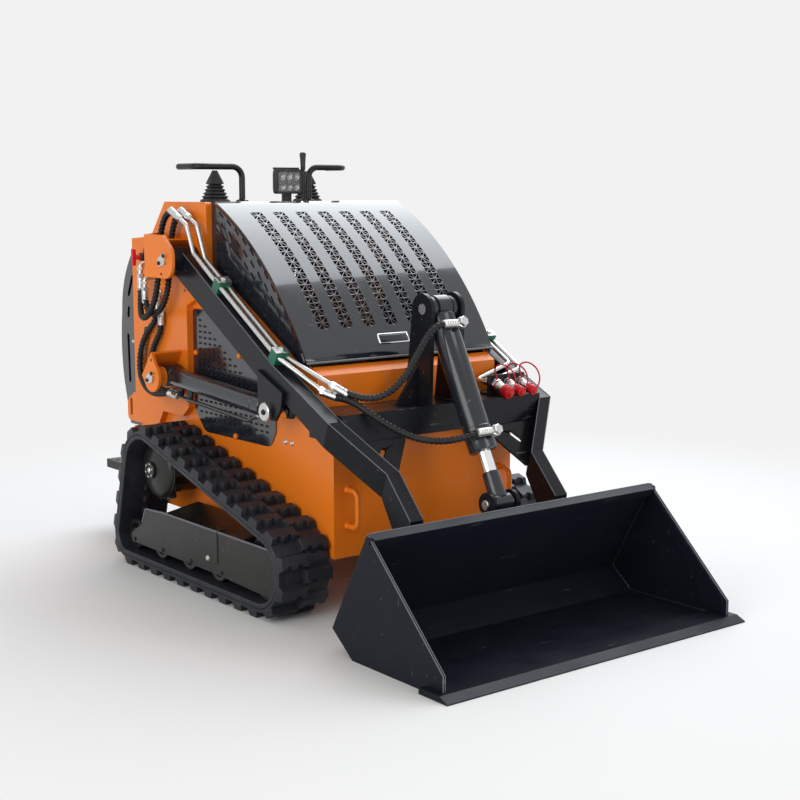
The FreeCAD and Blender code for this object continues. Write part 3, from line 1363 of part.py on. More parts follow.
def louvre_cutters():
    """Slanted slots in mirrored pairs, in columns down the hood's arc."""
    length, width, slant = LOUVRE_SLOT
    cutters = []
    for row in range(LOUVRE_ROWS):
        angle, radius, centre = hood_angle((row + LOUVRE_FIRST + 0.5) / HOOD_BANDS)
        flip = 1 if row % 2 else -1
        for column in range(LOUVRE_COLUMNS):
            middle = LOUVRE_PITCH * (column - (LOUVRE_COLUMNS - 1) / 2)
            for side in (1, -1):
                low = V(-length / 2, -width / 2, radius - 4 * HOOD_THICK)
                cutter = Part.makeBox(length, width, 6 * HOOD_THICK, low)
                cutter.rotate(V(0, 0, 0), V(0, 0, 1), side * flip * slant)
                cutter.translate(V(0, middle + side * LOUVRE_ASIDE, 0))
                cutter.rotate(V(0, 0, 0), V(0, 1, 0), 90 - math.degrees(angle))
                cutter.translate(centre)
                cutters.append(cutter)
    return Part.makeCompound(cutters)


def hood_panel():
    """Arched hood with its louvres, folded foot and two hinge arms."""
    path = []
    for i in range(HOOD_BANDS + 1):
        angle, radius, centre = hood_angle(i / HOOD_BANDS)
        path.append((centre.x + radius * math.cos(angle), centre.z + radius * math.sin(angle)))
    panel = sheet(path, -HOOD_THICK, -HOOD_HALF, HOOD_HALF).cut(louvre_cutters())
    x, z = HOOD_HINGE
    (seat, _, _), centre = hood_arc(HOOD_THICK / 2)
    seat_low = centre + FreeCAD.Rotation(V(0, 1, 0), HINGE_ARM_SPAN).multVec(seat - centre)
    eye = HINGE_EYE_R - 1
    pieces = [panel]
    for sign in (1, -1):
        y0, y1 = sign * HINGE_Y - HINGE_ARM / 2, sign * HINGE_Y + HINGE_ARM / 2
        corners = [(x, z - eye), (x, z + eye), (seat.x, seat.z), (seat_low.x, seat_low.z)]
        pieces.append(prism(corners, "y", y0, y1))
        pieces.append(bar_y(HOOD_HINGE, HINGE_EYE_R, y0, y1))
    return fused(pieces).cut(bar_y(HOOD_HINGE, HINGE_PIN_R + RUNNING, -HOOD_HALF, HOOD_HALF))


LATCH_PLACE = (215.0, 768.0)
LATCH_DEPTH = 34.0
LATCH_ENDS = (-76.0, 39.0)
LATCH_THICK = 6.0


def hood_latch():
    """Paddle latch near the hood's foot."""
    _, centre = hood_arc(0)
    out = (V(LATCH_PLACE[0], 0, LATCH_PLACE[1]) - centre).normalize()
    base = centre + out * ((V(HOOD_FOOT[0], 0, HOOD_FOOT[1]) - centre).Length + SEAT)
    latch = box(-LATCH_DEPTH / 2, LATCH_DEPTH / 2, *LATCH_ENDS, 0, LATCH_THICK)
    latch.rotate(V(0, 0, 0), V(0, 1, 0), math.degrees(math.atan2(out.x, out.z)))
    latch.translate(base)
    return latch


def build_nodes():
    """Every sub-part by its node's name."""
    nodes = {
        "front_and_belly": front_and_belly(),
        "side_grilles": side_grilles(),
        "side_cheeks": side_cheeks(),
        "control_deck": control_deck(),
        "rear_cover": rear_cover(),
        "engine_block": engine_block(),
        "chassis_pins": chassis_pins(),
        "standing_platform": standing_platform(),
        "hand_rests": hand_rests(),
        "control_gaiters": control_gaiters(),
        "hand_lever": hand_lever(),
        "work_light": work_light(),
        "work_light_lens": work_light_lens(),
        "isolator_switch": isolator_switch(),
        "isolator_key": isolator_key(),
        "grab_handles": grab_handles(),
        "tie_down_loops": tie_down_loops(),
        "bulkhead_fittings": bulkhead_fittings(),
        "cross_member": cross_member(),
        "arm_pins": arm_pins(),
        "arm_tubes": arm_tubes(),
        "tube_clamps": tube_clamps(),
        "coupler_bracket": coupler_bracket(),
        "couplers": couplers(),
        "coupler_caps": coupler_caps(),
        "pivot_hoses": pivot_hoses(),
        "lift_hoses": lift_hoses(),
        "tilt_hoses": tilt_hoses(),
        "tilt_barrel": tilt_barrel(),
        "tilt_rod": tilt_rod(),
        "bucket_shell": bucket_shell(),
        "attach_plate": attach_plate(),
        "latch_levers": latch_levers(),
        "hood_panel": hood_panel(),
        "hood_latch": hood_latch(),
    }
    paired = {"side_wall": side_wall, "loader_tower": loader_tower, "track_belt": track_belt,
              "track_frame": track_frame, "drive_sprocket": drive_sprocket, "lift_arm": lift_arm,
              "lift_barrel": lift_barrel, "lift_rod": lift_rod}
    for name, make in paired.items():
        shape = make()
        for side, sign in SIDES:
            nodes[name + "_" + side] = on_side(shape, sign)
    wheels = Part.makeCompound(track_wheels())
    for side, sign in SIDES:
        nodes["track_wheels_" + side] = on_side(wheels, sign)
    return nodes


os.makedirs("parts", exist_ok=True)
for node, shape in build_nodes().items():
    shape.exportStep(os.path.join("parts", node + ".step"))
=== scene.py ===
import json
from math import acos, atan2, cos, degrees, dist, hypot, pi, radians, sin, sqrt, tan, tau

import bmesh
import bpy
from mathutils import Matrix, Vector
from mathutils.geometry import delaunay_2d_cdt


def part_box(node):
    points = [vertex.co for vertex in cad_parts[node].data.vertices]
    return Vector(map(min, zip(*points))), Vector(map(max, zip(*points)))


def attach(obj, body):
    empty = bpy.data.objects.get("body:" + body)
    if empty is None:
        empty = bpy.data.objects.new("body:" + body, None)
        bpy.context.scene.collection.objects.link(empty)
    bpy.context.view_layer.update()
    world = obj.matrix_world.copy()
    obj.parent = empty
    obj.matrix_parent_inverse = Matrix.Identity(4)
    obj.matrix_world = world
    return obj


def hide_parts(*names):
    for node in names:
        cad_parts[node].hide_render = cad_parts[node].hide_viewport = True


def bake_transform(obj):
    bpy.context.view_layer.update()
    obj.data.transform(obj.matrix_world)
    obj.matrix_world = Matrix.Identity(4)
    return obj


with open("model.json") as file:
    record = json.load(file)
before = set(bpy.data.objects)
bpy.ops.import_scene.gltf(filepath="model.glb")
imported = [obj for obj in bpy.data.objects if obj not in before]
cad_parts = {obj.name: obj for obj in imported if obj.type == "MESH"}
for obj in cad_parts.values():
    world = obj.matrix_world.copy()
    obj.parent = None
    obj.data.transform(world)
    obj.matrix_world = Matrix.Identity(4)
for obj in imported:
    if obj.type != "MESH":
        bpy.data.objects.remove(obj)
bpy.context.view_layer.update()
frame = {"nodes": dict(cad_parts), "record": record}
NODES = frame["nodes"]

# Places and sizes are in millimetres, as in part.py: +X forward, +Y the machine's left, +Z up.

SIDES = (("left", 1), ("right", -1))
WALL_FACE = 338  # outer faces of the tub's walls, the towers and their brackets
TOWER_FACE = 360
BRACKET_FACE = 470
ARM_FACES = (375, 420)  # inner and outer face of an arm
ARM_LANE = 397.5  # middle of an arm and of its cylinder
DECK_TOP = 1178
LIFT_LINE = ((-474, 624), (145, 583))  # (x, z) of each cylinder's base pin and eye pin
TILT_LINE = ((395, 877), (668, 347))


# Camera

CAMERA_PLACE = (3.6564, -2.7027, 1.2251)
CAMERA_YAW = 2.476
CAMERA_PITCH = -0.1449
CAMERA_LENS = 65.73
SENSOR = 36


def make_camera():
    data = bpy.data.cameras.new("camera")
    data.lens, data.sensor_width = CAMERA_LENS, SENSOR
    camera = bpy.data.objects.new("camera", data)
    bpy.context.scene.collection.objects.link(camera)
    camera.location = CAMERA_PLACE
    level = cos(CAMERA_PITCH)
    look = Vector((level * cos(CAMERA_YAW), level * sin(CAMERA_YAW), sin(CAMERA_PITCH)))
    camera.rotation_mode = "QUATERNION"
    camera.rotation_quaternion = look.to_track_quat("-Z", "Y")
    bpy.context.scene.camera = camera


# Node helpers for the materials

class Tree:
    """The node tree of a material or of the world, with short calls to add and join nodes."""

    def __init__(self, owner):
        owner.use_nodes = True
        self.owner = owner
        self.nodes = owner.node_tree.nodes
        self.links = owner.node_tree.links
        self.shader = self.nodes.get("Principled BSDF")
        self.coordinates = self.node("ShaderNodeTexCoord").outputs
        self.place = self.coordinates["Object"]

    def node(self, kind, settings=(), **inputs):
        made = self.nodes.new(kind)
        for key, value in dict(settings).items():
            setattr(made, key, value)
        for key, value in inputs.items():
            self.feed(made.inputs[key.replace("_", " ")], value)
        return made

    def feed(self, socket, value):
        if isinstance(value, bpy.types.NodeSocket):
            self.links.new(value, socket)
        else:
            socket.default_value = value

    def noise(self, scale, detail=2, roughness=0.5, vector=None):
        made = self.node("ShaderNodeTexNoise", Scale=scale, Detail=detail, Roughness=roughness)
        self.feed(made.inputs["Vector"], vector or self.place)
        return made.outputs["Fac"]

    def ramp(self, value, low, high, out_low=0, out_high=1, kind="SMOOTHSTEP"):
        made = self.node("ShaderNodeMapRange", {"interpolation_type": kind})
        for index, item in enumerate((value, low, high, out_low, out_high)):
            self.feed(made.inputs[index], item)
        return made.outputs["Result"]

    def mix(self, factor, a, b):
        made = self.node("ShaderNodeMix", {"data_type": "RGBA"})
        self.feed(made.inputs[0], factor)
        self.feed(made.inputs[6], a)
        self.feed(made.inputs[7], b)
        return made.outputs[2]

    def math(self, operation, a, b=0):
        made = self.node("ShaderNodeMath", {"operation": operation})
        self.feed(made.inputs[0], a)
        self.feed(made.inputs[1], b)
        return made.outputs[0]

    def seen(self):
        """1 for rays from the camera, also mirrored or through glass, and 0 for those that light."""
        ray = self.node("ShaderNodeLightPath").outputs
        indirect = self.math("MAXIMUM", ray["Is Glossy Ray"], ray["Is Transmission Ray"])
        return self.math("MAXIMUM", ray["Is Camera Ray"], indirect)

    def bump(self, height, strength, distance):
        made = self.node("ShaderNodeBump", Strength=strength, Distance=distance, Height=height)
        self.links.new(made.outputs["Normal"], self.shader.inputs["Normal"])

    def set(self, **values):
        for key, value in values.items():
            self.feed(self.shader.inputs[key.replace("_", " ")], value)
        return self.owner


def rgba(colour, gain=1):
    return (*[min(1, c * gain) for c in colour], 1)


def grey(level):
    return (level, level, level, 1)


# Materials

DUST_COLOUR = (0.42, 0.38, 0.33, 1)
SCRATCH_COLOUR = (0.55, 0.55, 0.55, 1)
# Painted shade: the engine bay's inner walls are darkened towards this colour
BAY_SHADE_COLOUR = (0.012, 0.011, 0.010, 1)


def enamel(name, colour, roughness, dust=0.10, coat=0.6, shine=0.5, shaded_bay=False):
    """Sprayed enamel: mottling, orange peel, fine scratches, dust in patches and on level faces, and, where
    asked, painted shade on the engine bay's inner walls.
    """
    t = Tree(bpy.data.materials.new(name))
    mottle = t.noise(3, 4)
    scratches = t.ramp(t.noise(90, 2, 0.7, stretched(t, (1, 0.08, 0.6))), 0.68, 0.76)
    normal = t.node("ShaderNodeNewGeometry").outputs["Normal"]
    level = t.ramp(t.node("ShaderNodeSeparateXYZ", Vector=normal).outputs["Z"], 0.2, 1, 0.35, 1)
    film = t.math("MULTIPLY", level, t.ramp(t.noise(7, 6, 0.6), 0.42, 0.75, 0, dust))
    base = t.mix(mottle, rgba(colour, 0.90), rgba(colour, 1.08))
    base = t.mix(film, base, DUST_COLOUR)
    base = t.mix(t.math("MULTIPLY", scratches, 0.16), base, SCRATCH_COLOUR)
    # Painted shade: darkens the engine bay's inner walls, inside the body where little light reaches
    if shaded_bay:
        base = t.mix(engine_bay_shade(t), base, BAY_SHADE_COLOUR)
    wear = t.ramp(t.noise(6, 3), 0.3, 0.7, roughness - 0.04, roughness + 0.06)
    rough = t.math("ADD", wear, t.math("MULTIPLY", film, 0.4))
    t.bump(t.noise(420, 1), 0.05, 0.0006)
    return t.set(Base_Color=base, Roughness=rough, Coat_Weight=coat, Coat_Roughness=0.03,
                 Specular_IOR_Level=shine)


def engine_bay_shade(t):
    """1 on the walls' inner faces below the hood, where a painted shade darkens them, and 0 elsewhere."""
    place = t.node("ShaderNodeSeparateXYZ", Vector=t.place).outputs
    across = t.ramp(t.math("ABSOLUTE", place["Y"]), 0.3362, 0.3372, 1, 0)
    front = t.ramp(place["X"], 0.205, 0.222, 1, 0)
    rear = t.ramp(place["X"], -0.31, -0.29, 0, 1)
    above = t.ramp(place["Z"], 0.30, 0.34, 0, 1)
    return t.math("MULTIPLY", t.math("MULTIPLY", across, front), t.math("MULTIPLY", rear, above))


def stretched(t, scale):
    made = t.node("ShaderNodeMapping", Vector=t.place, Scale=scale)
    return made.outputs["Vector"]


def plated(name, colour, roughness, grain):
    """Zinc or chrome plated steel with a faint grain."""
    t = Tree(bpy.data.materials.new(name))
    cloud = t.noise(35, 4)
    base = t.mix(cloud, rgba(colour, 0.86), rgba(colour))
    rough = t.ramp(t.noise(160, 3), 0.3, 0.7, roughness - 0.05, roughness + 0.08)
    t.bump(t.noise(grain, 1), 0.02, 0.0002)
    return t.set(Base_Color=base, Metallic=1, Roughness=rough)


def moulded(name, colour, roughness, bump=0.15, scale=700, dust=0.08, shine=0.4):
    """Moulded plastic or rubber with a fine grain."""
    t = Tree(bpy.data.materials.new(name))
    film = t.ramp(t.noise(9, 6, 0.65), 0.45, 0.8, 0, dust)
    base = t.mix(t.noise(25, 3), rgba(colour, 0.85), rgba(colour, 1.15))
    base = t.mix(film, base, (0.35, 0.32, 0.28, 1))
    rough = t.ramp(t.noise(30, 4), 0.3, 0.7, roughness - 0.06, roughness + 0.08)
    t.bump(t.noise(scale, 2), bump, 0.0006)
    return t.set(Base_Color=base, Roughness=rough, Specular_IOR_Level=shine)


def lamp_glass(name):
    t = Tree(bpy.data.materials.new(name))
    tint = t.mix(t.noise(60, 2), (0.92, 0.95, 0.97, 1), (1, 1, 1, 1))
    return t.set(Base_Color=tint, Roughness=0.04, Transmission_Weight=0.95, IOR=1.5)


ENAMELS = {  # colour, roughness, dust, coat, shine, and whether the bay's inner walls take a painted shade
    "orange_paint": ((0.84, 0.200, 0.011), 0.34, 0.012, 0.10, 0.28, True),
    "dark_paint": ((0.014, 0.017, 0.024), 0.12, 0.02, 0.55, 0.48),
    "arm_paint": ((0.0075, 0.0085, 0.011), 0.26, 0.02, 0, 0.22),
    "bucket_paint": ((0.0075, 0.0095, 0.0160), 0.34, 0.012, 0, 0.13),
    "black_paint": ((0.008, 0.008, 0.009), 0.34, 0.04, 0.10, 0.25),
    "frame_paint": ((0.013, 0.013, 0.012), 0.30, 0.06, 0.05, 0.30),
    "barrel_paint": ((0.014, 0.018, 0.024), 0.20, 0.02, 0.35, 0.35),
    "engine_grey": ((0.08, 0.08, 0.08), 0.55, 0.2, 0, 0.5),
    # Lighter grey for bars along edges: partly wear, partly a painted highlight
    "worn_edge": ((0.13, 0.14, 0.16), 0.36, 0.05, 0, 0.4),
}
PLATINGS = {  # colour, roughness, scale of the grain
    "reflector": ((0.34, 0.33, 0.33), 0.34, 300),
    "zinc_steel": ((0.66, 0.66, 0.65), 0.30, 500),
    "chrome": ((0.88, 0.89, 0.91), 0.10, 300),
}
MOULDINGS = {  # colour, roughness, bump, scale of the grain, dust, shine
    "green_plastic": ((0.006, 0.115, 0.060), 0.45),
    "red_plastic": ((0.58, 0.006, 0.012), 0.36, 0.06),
    "black_plastic": ((0.016, 0.016, 0.017), 0.45),
    "bellows_rubber": ((0.014, 0.014, 0.015), 0.55, 0.2, 500, 0.14),
    "track_rubber": ((0.016, 0.018, 0.024), 0.46, 0.30, 260, 0.08, 0.32),
    "hose_rubber": ((0.010, 0.010, 0.012), 0.36, 0.2, 500, 0.05, 0.25),
}
MATERIALS = {"lamp_lens": lamp_glass("lamp_lens")}
for maker, table in ((enamel, ENAMELS), (plated, PLATINGS), (moulded, MOULDINGS)):
    MATERIALS.update({name: maker(name, *row) for name, row in table.items()})


# Mesh making

ACROSS = Vector((0, 1, 0))


def at(x, y, z):
    """A place in metres, from millimetres."""
    return Vector((x, y, z)) / 1000


def polar(centre, radius, angle):
    return centre[0] + radius * cos(angle), centre[1] + radius * sin(angle)


def along(a, b, distance, aside=0):
    """(x, z) at a distance from a towards b, moved aside to the left of that line."""
    length = dist(a, b)
    ux, uz = (b[0] - a[0]) / length, (b[1] - a[1]) / length
    return a[0] + ux * distance - uz * aside, a[1] + uz * distance + ux * aside


def swing(start, end, share):
    """A vector part of the way round from start to end, which are as long."""
    angle = start.angle(end)
    return (start * sin((1 - share) * angle) + end * sin(share * angle)) / sin(angle)


def fillet(before, corner, after, radius, steps, most=1):
    """Points of the arc that rounds a corner and takes up at most a share of either side."""
    a, b = before - corner, after - corner
    half = a.angle(b) / 2
    reach = min(radius / tan(half), most * min(a.length, b.length))
    a, b = a.normalized() * reach, b.normalized() * reach
    out = (a + b).normalized() * (reach / cos(half))
    return [corner + out + swing(a - out, b - out, k / steps) for k in range(steps + 1)]


def corner_arcs(points, radius, steps=6):
    """The points in metres, with an arc of the radius in millimetres at each inner corner."""
    points = [Vector(p) for p in points]
    out = [points[0]]
    for before, corner, after in zip(points, points[1:], points[2:]):
        out += fillet(before, corner, after, radius / 1000, steps, 0.48)
    return out + [points[-1]]


def rounded(points, steps=4):
    """Corners (a, b, radius) of a closed outline as points, with their fillets."""
    out = []
    flat = [Vector(p[:2]) for p in points]
    for i, corner in enumerate(points):
        if len(corner) == 2:
            out.append(corner)
        else:
            arc = fillet(flat[i - 1], flat[i], flat[(i + 1) % len(flat)], corner[2], steps)
            out += [tuple(p) for p in arc]
    return out


def rectangle(a0, b0, a1, b1, *radius):
    """Corners of an outline, each with the radius where one is given."""
    return [(a, b, *radius) for a, b in ((a0, b0), (a1, b0), (a1, b1), (a0, b1))]


def spot(axis, level, a, b):
    return {"x": at(level, a, b), "y": at(a, level, b), "z": at(a, b, level)}[axis]


class Form:
    """One piece's mesh while it is made."""

    def __init__(self):
        self.bm = bmesh.new()

    def skin(self, rings, caps=True, closed=True):
        made = [[self.bm.verts.new(p) for p in ring] for ring in rings]
        count = len(rings[0])
        for a, b in zip(made, made[1:]):
            for i in range(count if closed else count - 1):
                j = (i + 1) % count
                self.bm.faces.new((a[i], a[j], b[j], b[i]))
        if caps:
            self.bm.faces.new(made[0][::-1])
            self.bm.faces.new(made[-1])

    def turned(self, place, direction, profile, sides=32, phase=0):
        """A turned form about direction from place: its profile is (radius, distance)."""
        turn = Vector(direction).to_track_quat("Z", "Y").to_matrix()
        rings = []
        for radius, distance in profile:
            angles = [phase + tau * i / sides for i in range(sides)]
            rings.append([place + turn @ at(radius * cos(t), radius * sin(t), distance) for t in angles])
        self.skin(rings)

    def plate(self, outline, axis, low, high):
        """An outline with fillets, extruded along axis."""
        flat = rounded(outline)
        self.skin([[spot(axis, level, a, b) for a, b in flat] for level in (low, high)])

    def swept(self, path, radius, sides=14, wrap=None):
        """A bar along the path; wrap is (pitch, height) of a spiral round it."""
        path = [Vector(p) for p in path]
        ahead = (path[1] - path[0]).normalized()
        side = ahead.orthogonal().normalized()
        rings, run = [], 0
        for i, here in enumerate(path):
            run += (here - path[i - 1]).length if i else 0
            following = (path[min(i + 1, len(path) - 1)] - path[max(i - 1, 0)]).normalized()
            side = (side - following * side.dot(following)).normalized()
            other = following.cross(side)
            ring = []
            for k in range(sides):
                t = tau * k / sides
                r = radius / 1000
                if wrap:
                    beat = cos(t - tau * run * 1000 / wrap[0])
                    r += wrap[1] / 1000 * max(0, min(1, 0.5 + 2.2 * beat))
                ring.append(here + side * (r * cos(t)) + other * (r * sin(t)))
            rings.append(ring)
        self.skin(rings)

    def bolt(self, place, direction, size=8):
        """A hexagon head on its washer."""
        self.turned(place, direction, [(size * 1.25, 0), (size * 1.25, 1), (size * 1.12, 1.6)], 24)
        head = [(size, 1.4), (size, size * 0.62), (size * 0.8, size * 0.80)]
        self.turned(place, direction, head, 6, 0.3)

    def both_sides(self):
        """Adds the mirror image across the machine's middle."""
        everything = self.bm.verts[:] + self.bm.edges[:] + self.bm.faces[:]
        for item in bmesh.ops.duplicate(self.bm, geom=everything)["geom"]:
            if isinstance(item, bmesh.types.BMVert):
                item.co.y = -item.co.y
        return self

    def done(self, name, body, slot, replaces=(), bevel=0, sharp=35, finish=None):
        bmesh.ops.recalc_face_normals(self.bm, faces=self.bm.faces[:])
        mesh = bpy.data.meshes.new(name)
        self.bm.to_mesh(mesh)
        self.bm.free()
        mesh.polygons.foreach_set("use_smooth", [True] * len(mesh.polygons))
        mesh.set_sharp_from_angle(angle=radians(sharp))
        mesh.materials.append(MATERIALS[finish or slot])
        piece = bpy.data.objects.new(name, mesh)
        bpy.context.scene.collection.objects.link(piece)
        if bevel:
            soften = piece.modifiers.new("soften", "BEVEL")
            soften.width, soften.segments, soften.limit_method = bevel / 1000, 2, "ANGLE"
            soften.angle_limit = radians(32)
        if body:
            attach(piece, body)
        if replaces:
            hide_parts(*replaces)
        return piece


# Hood: a bent sheet whose louvre cells are each crossed by a diagonal bar

HOOD_TOP, HOOD_MIDDLE, HOOD_FOOT = (-254, 1180), (76, 942), (235, 724)
HOOD_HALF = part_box("hood_panel")[1].y * 1000
HOOD_THICK = 2.6
HOOD_LIP = 13
HINGE = (-300, 1160)
HINGE_Y, HINGE_HALF = 250, 5
LOUVRE_COLUMNS = (-251, -168, -84, 0, 84, 166, 248)
LOUVRE_HALF, LOUVRE_BAR = 22, 1.5
LOUVRE_ROWS = 22
LOUVRE_SPAN = (0.105, 0.845)  # shares of the hood's arc
TOP_ROWS, FOOT_ROWS = 4, 5  # plain rows of the sheet above and below the louvres


def arc_through(a, b, c):
    """Centre and radius of the circle through three (x, z) points."""
    ax, az, bx, bz, cx, cz = *a, *b, *c
    d = 2 * (ax * (bz - cz) + bx * (cz - az) + cx * (az - bz))
    sa, sb, sc = ax * ax + az * az, bx * bx + bz * bz, cx * cx + cz * cz
    x = (sa * (bz - cz) + sb * (cz - az) + sc * (az - bz)) / d
    z = (sa * (cx - bx) + sb * (ax - cx) + sc * (bx - ax)) / d
    return (x, z), hypot(ax - x, az - z)


HOOD_CENTRE, HOOD_RADIUS = arc_through(HOOD_TOP, HOOD_MIDDLE, HOOD_FOOT)
HOOD_START, HOOD_END = (atan2(z - HOOD_CENTRE[1], x - HOOD_CENTRE[0]) for x, z in (HOOD_TOP, HOOD_FOOT))


def hood_point(y, share, inset=0):
    """A point of the hood, from its top at share 0 to its foot at 1, inset below its face."""
    x, z = polar(HOOD_CENTRE, HOOD_RADIUS - inset, HOOD_START + (HOOD_END - HOOD_START) * share)
    return at(x, y, z)


def louvre_cell(bm, verts, flip):
    """Two open triangles in a cell, inside bars along its edges and across it."""
    if flip:
        verts = verts[1:] + verts[:1]
    a, b, c, d = verts
    for triangle in ((a, b, c), (a, c, d)):
        middle = sum((v.co for v in triangle), Vector()) / 3
        inner = []
        for i, v in enumerate(triangle):
            u = (triangle[i - 1].co - v.co).normalized()
            w = (triangle[(i + 1) % 3].co - v.co).normalized()
            inward = (u + w).normalized()
            inner.append(bm.verts.new(v.co + inward * (LOUVRE_BAR / 1000 / sin(u.angle(w) / 2))))
        for i in range(3):
            j = (i + 1) % 3
            bm.faces.new((triangle[i], triangle[j], inner[j], inner[i]))


def make_hood():
    ys = [-HOOD_HALF]
    for y in LOUVRE_COLUMNS:
        ys += [y - LOUVRE_HALF, y, y + LOUVRE_HALF]
    ys.append(HOOD_HALF)
    low, high = LOUVRE_SPAN
    shares = [low * i / TOP_ROWS for i in range(TOP_ROWS)]
    shares += [low + (high - low) * i / LOUVRE_ROWS for i in range(LOUVRE_ROWS + 1)]
    shares += [high + (1 - high) * i / FOOT_ROWS for i in range(1, FOOT_ROWS + 1)]
    form = Form()
    grid = [[form.bm.verts.new(hood_point(y, share)) for y in ys] for share in shares]
    for r in range(len(shares) - 1):
        for c in range(len(ys) - 1):
            cell = [grid[r][c], grid[r][c + 1], grid[r + 1][c + 1], grid[r + 1][c]]
            if TOP_ROWS <= r < TOP_ROWS + LOUVRE_ROWS and c % 3:
                louvre_cell(form.bm, cell, (c % 3 == 1) == bool(r % 2))
            else:
                form.bm.faces.new(cell)
    for column in (0, -1):
        lip = [form.bm.verts.new(hood_point(ys[column], share, HOOD_LIP)) for share in shares]
        for r in range(len(shares) - 1):
            form.bm.faces.new((grid[r][column], grid[r + 1][column], lip[r + 1], lip[r]))
    hood = form.done("hood_skin", "hood", "dark_paint", ["hood_panel"], sharp=50)
    sheet = hood.modifiers.new("sheet", "SOLIDIFY")
    sheet.thickness, sheet.offset, sheet.use_even_offset = HOOD_THICK / 1000, -1, False
    arms = Form()
    seat, seat_low = hood_point(0, 0, 2) * 1000, hood_point(0, 0.05, 2) * 1000
    x, z = HINGE
    for y in (HINGE_Y, -HINGE_Y):
        outline = [(x, z - 8), (x, z + 8), (seat.x, seat.z), (seat_low.x, seat_low.z)]
        arms.plate(outline, "y", y - HINGE_HALF, y + HINGE_HALF)
        arms.turned(at(x, y - HINGE_HALF, z), (0, 1, 0), [(9, 0), (9, 2 * HINGE_HALF)], 24)
    arms.done("hood_hinge_arms", "hood", "dark_paint")
    lip = Form()
    # A lighter bar along the hood's foot: wear and a painted highlight
    lip.swept([hood_point(y, 1, -2) for y in (-HOOD_HALF, 0, HOOD_HALF)], 3.4, 10)
    lip.done("hood_foot_lip", "hood", "dark_paint", finish="worn_edge")


# Side panels with rows of slots

PANEL_BACK, PANEL_THICK = WALL_FACE + 1.2, 2.8
# A solid black sheet just behind each panel: painted shade for the inside seen through the slots
SHADE_SHEET_BACK, SHADE_SHEET_THICK = WALL_FACE + 0.2, 0.7
SHADE_SHEET_CENTRE, SHADE_SHEET_SCALE = (-150, 800), 0.97
CHEEK_LOW = ((228, 694), (-296, 985))
CHEEK_EDGE = 9  # below the hood's face
CHEEK_SLOT = (31, 9)  # length and width
CHEEK_PITCH = (52, 27)  # along the hood's edge and between rows
GRILLE_SLOT = (20, 7)
GRILLE_PITCH = (29.5, 18.3)
GRILLE_START = (-379, 806)


def slot_ring(a, b, length, width, angle):
    """Outline of a round-ended slot about (a, b)."""
    c, s = cos(radians(angle)), sin(radians(angle))
    ring = []
    for end in (1, -1):
        for k in range(5):
            t = pi * (k / 4 - 0.5)
            u, v = end * ((length - width) / 2 + width / 2 * cos(t)), end * width / 2 * sin(t)
            ring.append((a + u * c - v * s, b + u * s + v * c))
    return ring


def inside(point, ring):
    hit = False
    for (x0, z0), (x1, z1) in zip(ring, ring[1:] + ring[:1]):
        if (z0 > point[1]) != (z1 > point[1]) and point[0] < (x1 - x0) * (point[1] - z0) / (z1 - z0) + x0:
            hit = not hit
    return hit


def pierced(form, outline, holes, place, thick):
    """A flat panel with holes; place(a, b, level) gives a point of it, from level 0 to its thickness."""
    rings = [outline] + holes
    verts, edges, start = [], [], []
    for ring in rings:
        first = len(verts)
        start.append(first)
        verts += [Vector(p) for p in ring]
        edges += [(first + i, first + (i + 1) % len(ring)) for i in range(len(ring))]
    points, _, faces, *_ = delaunay_2d_cdt(verts, edges, [], 0, 1e-6)
    layers = [[form.bm.verts.new(place(p[0], p[1], level)) for p in points] for level in (0, thick)]
    for face in faces:
        middle = sum((points[i] for i in face), Vector((0, 0))) / len(face)
        if inside(middle, outline) and not any(
                (middle - Vector(hole[0])).length < 40 and inside(middle, hole) for hole in holes):
            for layer in layers:
                form.bm.faces.new([layer[i] for i in face])
    for first, ring in zip(start, rings):
        for i in range(len(ring)):
            j = first + (i + 1) % len(ring)
            form.bm.faces.new((layers[0][first + i], layers[0][j], layers[1][j], layers[1][first + i]))


def side_panel(name, outline, holes, replaced):
    """The same pierced panel on both sides of the body, with a solid black sheet behind it as painted shade
    seen through the slots.
    """
    form, shade_sheet = Form(), Form()
    (u, v), k = SHADE_SHEET_CENTRE, SHADE_SHEET_SCALE
    inset = [(u + (a - u) * k, v + (b - v) * k) for a, b in outline]
    for sign in (1, -1):
        pierced(form, outline, holes, lambda a, b, level: at(a, sign * (PANEL_BACK + level), b),
                PANEL_THICK)
        pierced(shade_sheet, inset, [], lambda a, b, level: at(a, sign * (SHADE_SHEET_BACK + level), b),
                SHADE_SHEET_THICK)
    form.done(name, "chassis", "dark_paint", [replaced])
    shade_sheet.done(name + "_shade_sheet", "chassis", "black_plastic")


def hood_edge(count):
    """(x, z) points just below the hood's side edge, from its top to its foot."""
    points = [hood_point(0, i / (count - 1), CHEEK_EDGE) * 1000 for i in range(count)]
    return [(p.x, p.z) for p in points]


def fits(x, z, room, turn, outline):
    """Whether a slot at (x, z) keeps its room, a length and width, inside the outline."""
    return all(inside(p, outline) for p in slot_ring(x, z, *room, turn))


def make_cheeks():
    arc = hood_edge(30)
    outline = arc + [*CHEEK_LOW, (CHEEK_LOW[-1][0], arc[0][1])]
    holes = []
    for row in range(8):
        radius = HOOD_RADIUS - 30 - CHEEK_PITCH[1] * row
        for i in range(20):
            angle = HOOD_START - CHEEK_PITCH[0] / HOOD_RADIUS * (i + 0.6 + 0.5 * (row % 2))
            x, z = polar(HOOD_CENTRE, radius, angle)
            turn = degrees(angle) - 97
            if fits(x, z, (50, 28), turn, outline):
                holes.append(slot_ring(x, z, *CHEEK_SLOT, turn))
    side_panel("slotted_cheeks", outline, holes, "side_cheeks")


GRILLE_CORNERS = ((-425, 840, 10), (-425, 520, 60), (-360, 450, 40), (20, 452, 40),
                  (50, 500, 30), (50, 660, 10), (-180, 840, 10))


